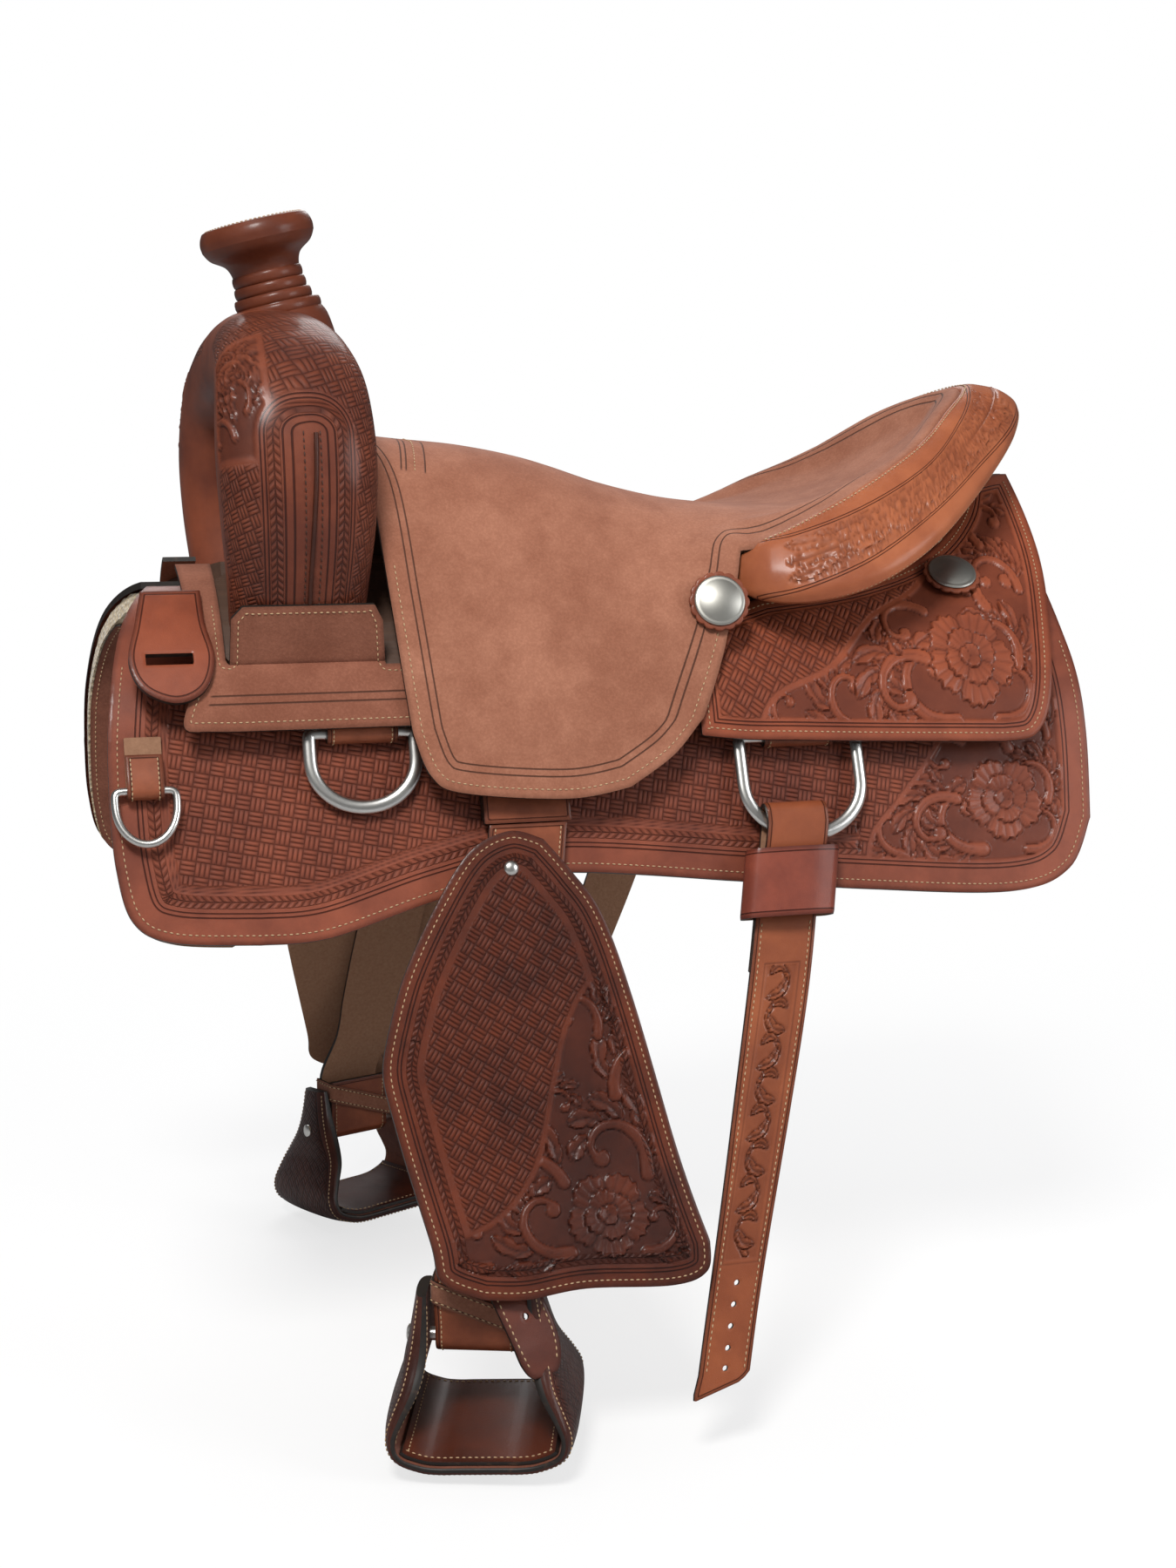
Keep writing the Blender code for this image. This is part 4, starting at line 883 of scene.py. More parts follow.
def fork_frame():
    """The fork's line from the near foot to the off foot, with how far along it each point is."""
    line = curve_through(FORK_LINE, 14)
    other = line[:-1][::-1].copy()
    other[:, 0] *= -1
    line = np.vstack([line, other])
    run = np.concatenate([[0], np.cumsum(np.hypot(*np.diff(line[:, :2], axis=0).T))])
    return line, run


FORK, FORK_RUN = fork_frame()
FORK_HALF = FORK_RUN[-1] / 2


def on_fork(run, angle, lift=0.0):
    """A point round the fork: angle 90 degrees is the outside, 0 the rear, 180 the front."""
    row = read_at(run, FORK_RUN, FORK)
    along = unit(read_at(run + 0.004, FORK_RUN, FORK[:, :2]) - read_at(run - 0.004, FORK_RUN, FORK[:, :2]))
    out = np.stack([along[..., 1], -along[..., 0]], -1)
    cos, sin = np.cos(angle), np.sin(angle)
    length = (row[..., 2] + 0.0004 + lift) * np.sign(cos) * np.abs(cos) ** 0.8
    thick = (row[..., 3] + 0.0004 + lift) * np.sign(sin) * np.abs(sin) ** 0.8
    y = -(row[..., 0] + out[..., 0] * thick)
    z = row[..., 1] + out[..., 1] * thick
    return np.stack([SWELL_X + length, y, z], -1)


def on_bars(points):
    """Leather that would sink into the bars stops on them."""
    reach = np.hypot(points[..., 1], points[..., 2] + BACK_RADIUS - WOOL)
    least = BACK_RADIUS + 0.0226
    grow = np.where((reach < least) & (np.abs(points[..., 1]) > 0.045), least / reach, 1.0)
    points = points.copy()
    points[..., 1] *= grow
    points[..., 2] = (points[..., 2] + BACK_RADIUS - WOOL) * grow - BACK_RADIUS + WOOL
    return points


SWELL_ROUND = 0.040
SEAM_TURN, SEAM_TOP = 1.50, 0.138
SWELL_MARKS = spray(0.136, 0.098, 0.026, 0.3, 1) + spray(0.160, 0.104, 0.028, 0.2, -1)
SWELL_MARKS += spray(0.176, 0.090, 0.024, 0.8, 1) + spray(0.150, 0.090, 0.020, -0.6, 1)


def swell_tooling(run, angle):
    """Stamping on both sides of the fork, alike from the middle outwards."""
    side_run = np.minimum(run, 2 * FORK_HALF - run)
    round_way = angle * SWELL_ROUND
    front = np.minimum(round_way - 0.0780, 0.1180 - round_way)
    seam = np.hypot(round_way - SEAM_TURN * SWELL_ROUND, np.maximum(0.0, side_run - SEAM_TOP))
    inside = np.minimum(np.minimum(front, seam - 0.0235), np.minimum(side_run - 0.125, 0.196 - side_run))
    relief, dark = carved(side_run, round_way, eased(inside / GROUND_SOFT), SWELL_MARKS)
    clear = eased(inside / CARVED_SOFT)
    outside = (angle > 0.20) & (angle < 2.95)
    weave = outside * woven_beyond(inside) * eased((seam - 0.0225) / 0.001)
    weave = weave * eased((np.abs(side_run - FORK_HALF) - 0.030) / 0.002)
    return relief * clear, (weave, dark * clear, outside * 1.0), side_run, round_way, seam


def round_faces(rows, around):
    """Numbers for rows of points round a form, and the faces between the rows."""
    index = np.arange(rows * around).reshape(rows, around)
    ahead = np.roll(index, -1, axis=1)
    return index, np.stack([index[:-1], index[1:], ahead[1:], ahead[:-1]], -1).reshape(-1, 4)


def make_swell():
    runs = np.linspace(0.004, 2 * FORK_HALF - 0.004, 380)
    turns = np.linspace(0, 2 * math.pi, 190, endpoint=False)
    run, angle = np.meshgrid(runs, turns, indexing="ij")
    relief, marks, side_run, round_way, seam = swell_tooling(run, angle)
    points = on_bars(on_fork(run, angle, relief))
    index, quads = round_faces(*run.shape)
    ends = [list(index[0][::-1]), list(index[-1])]
    made = finished(
        "swell_leather", points.reshape(-1, 3), quads.tolist() + ends, [SWELL_FINISH], sharp=70
    )
    hold(made, "flat", side_run, round_way, relief)
    hold(made, "rim", side_run, seam)
    hold(made, "tool", *marks)
    return made


SWELL_FINISH = tooled_finish(
    "swell_leather", (0.250, 0.062, 0.026), (0.120, 0.027, 0.013), weave=0.0075, turn=20.0, edge_dark=0.0,
    creases=((0.0062, 0.0006), (0.0100, 0.0006), (0.0190, 0.0006), (0.0214, 0.0006)),
    braid=(0.0110, 0.0180, 0.0046),
)
swell = make_swell()
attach(swell, "saddle")
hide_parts("swell_cover")


def tube(name, path, radius, finish, around=8, closed=False, flatten=None):
    """A round cord of leather along a path, or a flat one where flatten gives its way out."""
    path = np.asarray(path, float)
    ahead = np.roll(path, -1, axis=0) if closed else np.vstack([path[1:], path[-1:]])
    behind = np.roll(path, 1, axis=0) if closed else np.vstack([path[:1], path[:-1]])
    along = unit(ahead - behind)
    hint = np.array([0.31, 0.17, 0.93]) if flatten is None else flatten
    first = unit(np.cross(along, hint))
    second = np.cross(along, first)
    turns = np.linspace(0, 2 * math.pi, around, endpoint=False)
    wide, thin = radius if isinstance(radius, tuple) else (radius, radius)
    ring = path[:, None] + second[:, None] * (wide * np.cos(turns)[None, :, None])
    ring = ring + first[:, None] * (thin * np.sin(turns)[None, :, None])
    index = np.arange(len(path) * around).reshape(len(path), around)
    after = np.roll(index, -1, axis=0) if closed else index[1:]
    here = index if closed else index[:-1]
    quads = np.stack([here, np.roll(here, -1, axis=1), np.roll(after, -1, axis=1), after], -1)
    quads = quads.reshape(-1, 4).tolist()
    if not closed:
        quads += [list(index[0][::-1]), list(index[-1])]
    return finished(name, ring.reshape(-1, 3), quads, [finish])


PLAIN_LEATHER = tooled_finish("plain_leather", (0.270, 0.068, 0.027), (0.140, 0.032, 0.014), gloss=0.34)
WELT_LEATHER = tooled_finish("welt_leather", (0.150, 0.040, 0.018), (0.070, 0.020, 0.011), gloss=0.36)
BROWN_THREAD = thread_finish("brown_thread", (0.030, 0.012, 0.008), (0.070, 0.026, 0.014))
for word, side in SIDES:
    runs = np.linspace(0.030, SEAM_TOP, 70)
    welt_line = on_bars(on_fork(runs, SEAM_TURN + 0.03 * np.sin(runs * 30), 0.0010))
    welt = tube(f"swell_welt_{word}", sided(welt_line, -side), 0.0016, WELT_LEATHER)
    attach(welt, "saddle")
    rows = [sided(on_bars(on_fork(runs, SEAM_TURN + step, 0.0004)), -side) for step in (0.070, -0.070)]
    sewn = stitching(f"swell_stitches_{word}", rows, "saddle", BROWN_THREAD, 0.0045, 0.0036, 0.0010)

HORN_BASE = Vector((-0.228, 0, 0.196))
HORN_LEAN = math.radians(14)
horn_axis = Vector((-math.sin(HORN_LEAN), 0, math.cos(HORN_LEAN)))


def turned(name, profile, base, axis, finish, segments=64, sharp=40):
    """A round piece from an open (radius, height) profile that starts and ends on its axis."""
    turn = Vector((0, 0, 1)).rotation_difference(axis).to_matrix()
    profile = np.asarray(profile, float)
    angles = np.linspace(0, 2 * math.pi, segments, endpoint=False)
    inner = profile[1:-1]
    radius = np.repeat(inner[:, :1], segments, axis=1)
    height = np.repeat(inner[:, 1:], segments, axis=1)
    ring = np.stack([radius * np.cos(angles), radius * np.sin(angles), height], -1).reshape(-1, 3)
    ends = [[0, 0, profile[0, 1]], [0, 0, profile[-1, 1]]]
    points = np.vstack([ring, ends]) @ np.array(turn).T + np.array(base)
    index, quads = round_faces(len(inner), segments)
    quads = quads[:, [0, 3, 2, 1]].tolist()
    ahead = np.roll(index, -1, axis=1)
    low, high = len(points) - 2, len(points) - 1
    caps = [[low, ahead[0, k], index[0, k]] for k in range(segments)]
    caps += [[high, index[-1, k], ahead[-1, k]] for k in range(segments)]
    return finished(name, points, quads + caps, [finish], sharp=sharp)


horn_side = curve_through([
    (0.0368, -0.014), (0.0345, 0.004), (0.0268, 0.018), (0.0238, 0.034), (0.0264, 0.047),
    (0.0362, 0.0545), (0.0403, 0.061),
], 8)
horn_top = curve_through([
    (0.0403, 0.061), (0.0406, 0.0665), (0.0385, 0.0722), (0.0345, 0.0746), (0.016, 0.0748), (0.0, 0.0748),
], 8)
horn_profile = np.vstack([[(0, -0.014)], horn_side[:-1], horn_top])
horn = turned("horn_leather", horn_profile, HORN_BASE, horn_axis, PLAIN_LEATHER, 72, 60)
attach(horn, "saddle")
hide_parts("horn_wrap")


def round_horn(radius, height, count=96):
    turn = np.array(Vector((0, 0, 1)).rotation_difference(horn_axis).to_matrix())
    angles = np.linspace(0, 2 * math.pi, count)
    ring = np.stack([radius * np.cos(angles), radius * np.sin(angles), np.full(count, height)], 1)
    return ring @ turn.T + np.array(HORN_BASE)


horn_rows = [round_horn(0.0347, 0.0748), round_horn(0.0392, 0.0600)]
sewn = stitching("horn_stitches", horn_rows, "saddle", TAN_THREAD, 0.0032, 0.0025, 0.0009)
for k, (height, radius) in enumerate(((0.012, 0.0312), (0.020, 0.0266), (0.028, 0.0246), (0.036, 0.0240))):
    ring = round_horn(radius, height, 49)[:-1]
    coil = tube(f"horn_coil_{k}", ring, (0.0040, 0.0014), PLAIN_LEATHER, 10, True, np.array(horn_axis))
    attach(coil, "saddle")


def steel_finish(name="bright_steel", tint=(0.80, 0.79, 0.76), rough=0.20):
    mix = Brew(name)
    smear = mix.noise(38.0, 4.0)
    scratch = mix.noise(900.0, 2.0)
    colour = mix.blend(mix.ramp(smear, 0.35, 0.75), tint, tuple(v * 0.80 for v in tint))
    mix.trait("Metallic", 1.0)
    shine = mix.add(rough, mix.times(smear, 0.16))
    shine = mix.add(shine, mix.times(scratch, 0.06))
    return mix.done(colour, shine)


STEEL = steel_finish()
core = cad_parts["horn_core"]
for place in range(len(core.material_slots)):
    core.material_slots[place].material = STEEL


# Seat
# One sheet of rough-out leather, flesh side up, from the swell to the cantle
# roll, with flaps over the stirrup leathers. Dark creases and tan thread follow
# its edge and cross its front, and the roll and two conchos hold it down.

# Place along, then the height at the middle and at three distances down the side.
SEAT_SECTIONS = (
    (-0.205, 0.124, 0.118, 0.092, 0.018),
    (-0.150, 0.118, 0.112, 0.084, 0.012),
    (-0.100, 0.113, 0.106, 0.075, 0.008),
    (-0.050, 0.103, 0.096, 0.066, 0.005),
    (0.000, 0.087, 0.081, 0.056, 0.006),
    (0.050, 0.075, 0.071, 0.055, 0.022),
    (0.090, 0.070, 0.069, 0.062, 0.043),
    (0.116, 0.068, 0.068, 0.065, 0.056),
    (0.163, 0.070, 0.072, 0.076, 0.080),
    (0.224, 0.094, 0.097, 0.108, 0.125),
    (0.272, 0.130, 0.142, 0.158, 0.178),
    (0.305, 0.158, 0.172, 0.190, 0.210),
)
SEAT_THICK = 0.0035
SEAT_UNDER = 0.0285


def knot_values(places, values, at):
    """A smooth line through values at places; each value may itself be a whole row."""
    values = [np.broadcast_to(v, at.shape) for v in values]
    made = np.where(at <= places[0], values[0], values[-1]).astype(float)
    for i in range(len(places) - 1):
        wide = places[i + 1] - places[i]

        def slope(k):
            low, high = max(k - 1, 0), min(k + 1, len(places) - 1)
            return (values[high] - values[low]) / (places[high] - places[low])

        t = (at - places[i]) / wide
        start = values[i] * (1 + 2 * t) * (1 - t) ** 2 + slope(i) * wide * t * (1 - t) ** 2
        end = values[i + 1] * t * t * (3 - 2 * t) + slope(i + 1) * wide * t * t * (t - 1)
        made = np.where((t > 0) & (t <= 1), start + end, made)
    return made


def seat_under(x, g):
    """The underside of the seat as (y, z), by place along it and distance down from its middle."""
    sections = np.array(SEAT_SECTIONS)
    heights = [knot_values(sections[:, 0], sections[:, k], x) - SEAT_THICK for k in range(1, 5)]
    low = lay(x, ARC, SEAT_UNDER)
    heights.append(low[..., 2])
    stations = (0.0, 0.050, 0.090, 0.130, ARC)
    y = knot_values(stations, [0.0, 0.050, 0.0895, 0.1275, low[..., 1]], g)
    z = knot_values(stations, heights, g)
    edge = lay(x, g, SEAT_UNDER)
    return np.stack([np.where(g >= ARC, edge[..., 1], y), np.where(g >= ARC, edge[..., 2], z)], -1)


def on_seat(x, g, h):
    """A point above the seat's underside, along its normal. Negative g is the near side."""
    x, g, h = np.broadcast_arrays(np.asarray(x, float), g, h)
    hand, g = np.where(g < 0, -1.0, 1.0), np.abs(g)
    step = 0.002
    here = seat_under(x, g)
    across = seat_under(x, g + step) - seat_under(x, np.maximum(g - step, 0.0))
    across[..., 1] = np.where(g < step, 0.0, across[..., 1])
    run = seat_under(x + step, g) - seat_under(x - step, g)
    along = np.stack([np.full(x.shape, 2 * step), run[..., 0], run[..., 1]], -1)
    level = np.stack([np.zeros(x.shape), across[..., 0], across[..., 1]], -1)
    normal = unit(np.cross(along, level))
    point = np.stack([x, here[..., 0], here[..., 1]], -1) + normal * h[..., None]
    point[..., 1] *= hand
    return point


# Along, across and up, from the roll's front tip to the rear middle.
ROLL_INNER = (
    (0.070, 0.119, 0.028),
    (0.090, 0.125, 0.044),
    (0.116, 0.129, 0.056),
    (0.163, 0.124, 0.079),
    (0.224, 0.095, 0.111),
    (0.262, 0.062, 0.137),
    (0.287, 0.032, 0.150),
    (0.300, 0.000, 0.155),
)


def both_ways(knots, steps=10):
    """A smooth line from one front tip over the rear middle to the other."""
    near = np.array(knots)
    return curve_through(np.vstack([near, near[:-1][::-1] * (1, -1, 1)]), steps)


seat_front = [(-0.200, 0.0), (-0.192, 0.050), (-0.182, 0.095), (-0.176, 0.135), (-0.168, 0.180)]
seat_flap = [(-0.168, 0.180), (-0.158, 0.208), (-0.137, 0.220), (-0.064, 0.227), (-0.020, 0.221)]
seat_back = [(-0.020, 0.221), (0.013, 0.200), (0.036, 0.176), (0.057, 0.155), (0.071, 0.137)]
PATTERN_STRETCH = (1, 1.015)
roll_edge = both_ways(ROLL_INNER, 3)
seat_dish = roll_edge[1 : len(roll_edge) // 2, :2] * PATTERN_STRETCH + (0.0024, 0.0030)
SEAT_HALF = np.vstack([
    curve_through(seat_front)[:-1], curve_through(seat_flap)[:-1], curve_through(seat_back),
    curve_through(np.vstack([seat_dish, [(0.305, 0.0)]]), 3),
])
SEAT_OUTLINE = np.vstack([SEAT_HALF, SEAT_HALF[1:-1][::-1] * (1, -1)])
DISH_EDGE = both_ways(ROLL_INNER, 16)


def on_dish(x, g, h):
    """On the seat, but bent to meet the roll's inner edge all round the dish."""
    x, g, h = np.broadcast_arrays(np.asarray(x, float), g, h)
    point = on_seat(x, g, h)
    line = DISH_EDGE[:, :2] * PATTERN_STRETCH
    far, along, hand = near_line(x, g, line)
    inner = near_line(np.array([0.150]), np.array([0.0]), line)[2]
    run = run_along(DISH_EDGE[:, :2])
    wanted = np.interp(along, run / run[-1], DISH_EDGE[:, 2]) + 0.0012 - 1.4 * far * (hand != inner)
    now = on_seat(x, g, SEAT_THICK)[..., 2]
    share = eased(1 - far / 0.030) * eased((x - 0.070) / 0.030)
    point[..., 2] += (wanted - now) * share
    return point


def suede_finish(name, light, dark, creases=(), edge_dark=0.35, arcs=()):
    """Leather with its flesh side out: short nap, soft mottling and darker rubbed places."""
    mix = Brew(name)
    rim, tool = mix.kept("rim"), mix.kept("tool")
    broad = mix.noise(7.0, 4.0, 0.6)
    middle = mix.noise(42.0, 5.0, 0.65)
    nap = mix.noise(560.0, 4.0, 0.7)
    tone = mix.add(mix.times(broad, 0.55), mix.times(middle, 0.45))
    colour = mix.blend(mix.ramp(tone, 0.36, 0.68), dark, light)
    rubbed = mix.blend(1.0, colour, (0.66, 0.62, 0.60), "MULTIPLY")
    colour = mix.blend(mix.ramp(nap, 0.38, 0.72, 0.0, 0.42), rubbed, colour)
    height = mix.add(mix.times(nap, 0.00022), mix.times(middle, 0.0010))
    lines = [mix.ramp(mix.apart(rim[1], place), width, width * 0.2) for place, width in creases]
    for place, width in arcs:
        lines.append(mix.times(mix.ramp(mix.apart(tool[0], place), width, width * 0.2), tool[1]))
    sunk = 0.0
    for line in lines:
        height = mix.add(height, mix.times(line, -0.0005))
        sunk = mix.most(sunk, line)
    edge = mix.times(mix.ramp(rim[1], 0.0035, 0.0), edge_dark)
    colour = mix.blend(mix.most(mix.times(sunk, 0.88), edge), colour, (0.055, 0.022, 0.014))
    for label, value in (("Sheen Weight", 0.08), ("Sheen Roughness", 0.5), ("Specular IOR Level", 0.14)):
        mix.trait(label, value)
    return mix.done(colour, 0.93, height)


ARC_BOW, ARC_HALF = 0.020, 0.13


def seat_tooling(x, g, inset):
    """Bowed crease lines across the front of the seat, just behind the swell."""
    bow = x - (-0.176 + ARC_BOW * np.cos(np.clip(np.abs(g) / ARC_HALF, 0, 1) * math.pi / 2))
    middle = (np.abs(g) < 0.078) * 1.0
    return np.zeros(x.shape), np.stack([bow, middle, middle * 0], 1)


SEAT_SUEDE = suede_finish(
    "seat_suede", (0.520, 0.236, 0.150), (0.375, 0.152, 0.092), creases=((0.0150, 0.0008), (0.0200, 0.0008)),
    arcs=((0.0060, 0.0008), (0.0095, 0.0008), (0.0230, 0.0008)),
)
SEAT_GRID = (np.arange(-0.204, 0.3065, 0.0024), np.arange(-0.2310, 0.2311, 0.0024))
seat = cut_leather(
    "seat_suede", SEAT_OUTLINE, SEAT_GRID, 0.0, SEAT_THICK, 1, layers(SEAT_SUEDE), seat_tooling, on_dish
)
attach(seat, "saddle")
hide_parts("seat_leather")
SEAT_SEWN_AT = SEAT_THICK + THREAD_UP
seat_rows = inset_rows(
    SEAT_OUTLINE, 0.0062, lambda x, s: (x > -0.172) & (x < 0.060), on_seat, SEAT_SEWN_AT, 1
)
g = np.linspace(-0.077, 0.077, 96)
bow = -0.1605 + ARC_BOW * np.cos(np.abs(g) / ARC_HALF * math.pi / 2)
seat_rows.append(on_seat(bow, g, SEAT_SEWN_AT))
sewn = stitching("seat_stitches", seat_rows, "saddle", TAN_THREAD)


# Cantle
# The roll is a broad, lighter-coloured leather rim stuffed round the cantle's
# edge, carved with a strip of leaves and sewn through along the seat. Its back
# is covered with a plain piece of the same hide.

ROLL_OUTER = (
    (0.072, 0.124, 0.017),
    (0.084, 0.138, 0.006),
    (0.116, 0.158, 0.004),
    (0.160, 0.167, 0.015),
    (0.212, 0.152, 0.041),
    (0.268, 0.112, 0.080),
    (0.320, 0.060, 0.120),
    (0.346, 0.000, 0.142),
)
ROLL_STEPS = 24
ROLL_PITCH = 0.00085
roll_in = both_ways(ROLL_INNER, ROLL_STEPS)
roll_out = both_ways(ROLL_OUTER, ROLL_STEPS)
middle_run = run_along((roll_in + roll_out) / 2)
stops = np.linspace(0, middle_run[-1], int(middle_run[-1] / ROLL_PITCH))
roll_in, roll_out = read_at(stops, middle_run, roll_in), read_at(stops, middle_run, roll_out)
roll_run = run_along((roll_in + roll_out) / 2)
ROLL_LENGTH = roll_run[-1]


def roll_rings(crown_points=58):
    """Sections of the roll: the rounded top first, then the underside back to the seat."""
    count = len(roll_in)
    end = np.minimum(np.arange(count), count - 1 - np.arange(count)) * ROLL_PITCH
    body = eased(end / 0.030)[:, None]
    across = roll_out - roll_in
    ahead = roll_in[np.minimum(np.arange(count) + 20, count - 1)]
    behind = roll_in[np.maximum(np.arange(count) - 20, 0)]
    up = unit(np.cross(ahead - behind, across))
    up *= np.where(up[:, 2:] < 0, -1, 1)
    heights = ((0.0012, 0.0097), (0.0012, 0.0080), (0.0010, 0.0024))
    crown, belly, edge = (at_end + (full - at_end) * body for at_end, full in heights)
    top = [(0.0, edge), (0.12, edge + 0.55 * (crown - edge)), (0.3, crown * 0.87), (0.62, crown)]
    top += [(0.88, crown * 0.72), (0.985, edge * 1.1), (1.006, edge * 0)]
    low = [(0.985, -edge * 1.1), (0.85, -belly), (0.5, -belly * 0.7), (0.15, -edge * 1.2), (0.0, -edge)]
    knots = np.stack([roll_in + across * a + up * b for a, b in top + low], 1)
    fine = np.stack([curve_through(ring, 8) for ring in knots])
    share = curve_through([(a, 0) for a, _ in top + low], 8)[:, 0]
    turn = (len(top) - 1) * 8
    wanted = np.concatenate([np.linspace(0, turn, crown_points), np.arange(turn + 2, len(share), 3)])
    before = np.minimum(wanted.astype(int), len(share) - 2)
    part = wanted - before
    fine = fine[:, before] * (1 - part)[None, :, None] + fine[:, before + 1] * part[None, :, None]
    share = share[before] * (1 - part) + share[before + 1] * part
    return fine, share, np.linalg.norm(across, axis=1), crown_points


def roll_marks():
    """A running strip of curled leaves down the middle of the roll, alike on both sides."""
    marks = []
    half = ROLL_LENGTH / 2
    for place in np.arange(half - 0.030, 0.090, -0.036):
        marks += spray(place, 0.0095, 0.026, 3.0, 1) + spray(place - 0.018, -0.0095, 0.026, 3.2, -1)
    for wide in (-0.0130, 0.0130, 0.0):
        leaf = [(0.086, wide * 0.1), (0.064, wide * 0.8), (0.040, wide * 1.05)]
        marks.append(("leaf", curve_through(leaf, 5), 0.0056, 2))
    stem = [(half - 0.010, 0.0), (half * 0.62, -0.001), (0.080, 0.0)]
    marks.append(("stem", curve_through(stem), 0.0018, 0))
    return marks


def make_roll():
    rings, share, width, crown_count = roll_rings()
    run = np.repeat(roll_run[:, None], rings.shape[1], 1)
    side_run = np.minimum(run, ROLL_LENGTH - run)
    across = (share[None, :] - 0.50) * width[:, None]
    on_top = (np.arange(rings.shape[1]) < crown_count)[None, :]
    strip = np.minimum(0.0190 - np.abs(across), side_run - 0.028)
    relief, dark = carved(side_run, across, np.zeros(run.shape), roll_marks())
    clear = eased(strip / 0.0012) * on_top
    relief, dark = relief * clear, dark * clear
    out = unit(rings - rings.mean(axis=1, keepdims=True))
    points = rings + out * relief[..., None]
    index, quads = round_faces(*run.shape)
    quads = quads[:, [0, 3, 2, 1]].tolist()
    faces = [face[::-1] for face in quads + [list(index[0]), list(index[-1][::-1])]]
    made = finished("cantle_roll_leather", points.reshape(-1, 3), faces, [ROLL_FINISH], sharp=75)
    hold(made, "flat", side_run, across, relief)
    hold(made, "rim", side_run, np.where(on_top, np.minimum(np.abs(across), side_run), 0.05))
    hold(made, "tool", 0.0, dark * 0.56)
    return made, rings


ROLL_FINISH = tooled_finish(
    "roll_leather", (0.430, 0.130, 0.052), (0.265, 0.068, 0.027), gloss=0.30, edge_dark=0.0,
    creases=((0.0200, 0.0005), (0.0222, 0.0005)),
)
roll, roll_ring_points = make_roll()
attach(roll, "saddle")
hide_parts("cantle_roll")
SEAM_POINT, RIM_POINT, ROLL_END = 4, 54, 30
roll_rows = [
    roll_ring_points[ROLL_END:-ROLL_END, k] + np.array([0, 0, 0.0006]) for k in (SEAM_POINT, RIM_POINT)
]
sewn = stitching("roll_stitches", roll_rows, "saddle", TAN_THREAD, 0.0036, 0.0029, 0.0010)

CANTLE_FOOT = (
    (0.090, 0.090), (0.112, 0.093), (0.156, 0.088), (0.206, 0.068), (0.240, 0.045), (0.262, 0.022),
    (0.272, 0.000),
)


def make_cantle_back():
    """The outside of the cantle: from the jockeys up to the underside of the roll."""
    low_line = both_ways([(x, y, 0) for x, y in CANTLE_FOOT], 20)
    share = np.linspace(0, 1, len(low_line))
    cut = (share > 0.06) & (share < 0.94)
    low_line, share = low_line[cut], share[cut]
    s = BACK_RADIUS * np.arcsin(np.minimum(0.9, np.abs(low_line[:, 1]) / (BACK_RADIUS + 0.022)))
    height = lay(low_line[:, 0], s, 0.0268)[:, 2]
    run = np.gradient(low_line[:, :2], axis=0)
    out = unit(np.stack([-run[:, 1], run[:, 0]], 1))
    out *= np.where(out[:, :1] < 0, -1, 1)
    low = np.column_stack([low_line[:, :2] + out * 0.0135, height])
    place = np.linspace(0, 1, len(roll_in))
    wanted = 1 / 14 + share * 12 / 14
    inner, outer = read_at(wanted, place, roll_in), read_at(wanted, place, roll_out)
    high = inner + (outer - inner) * 0.50 - np.array([0, 0, 0.0090])
    rows = np.linspace(0, 1, 26)
    face = low[:, None] * (1 - rows[None, :, None]) + high[:, None] * rows[None, :, None]
    hollow = np.sin(rows * math.pi)[None, :, None] * 0.0016
    out = np.column_stack([out, np.zeros(len(out))])[:, None]
    face = face - out * hollow
    inside = face - out * 0.0030
    count = face.shape[0] * face.shape[1]
    points = np.vstack([face.reshape(-1, 3), inside.reshape(-1, 3)])
    index = np.arange(count).reshape(face.shape[:2])
    quads = np.stack([index[:-1, :-1], index[1:, :-1], index[1:, 1:], index[:-1, 1:]], -1).reshape(-1, 4)
    back = (quads + count)[:, ::-1]
    edges = []
    for line in (index[0], index[:, -1], index[-1][::-1], index[:, 0][::-1]):
        edges += [[int(a), int(b), int(b) + count, int(a) + count] for a, b in zip(line[:-1], line[1:])]
    faces = quads.tolist() + back.tolist() + edges
    made = finished("cantle_back_leather", points, faces, [PLAIN_LEATHER], sharp=60)
    hold(made, "rim", np.zeros(len(points)), 0.05)
    return made


cantle_back = make_cantle_back()
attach(cantle_back, "saddle")
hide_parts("cantle_back")


# Jockeys
# The rear jockey lies behind the cantle on each side: basket stamping above, a
# large carved rose and scrolls below. The front jockey is rough-out leather and
# its ear climbs the foot of the swell. Both are sewn and nailed to the tree.

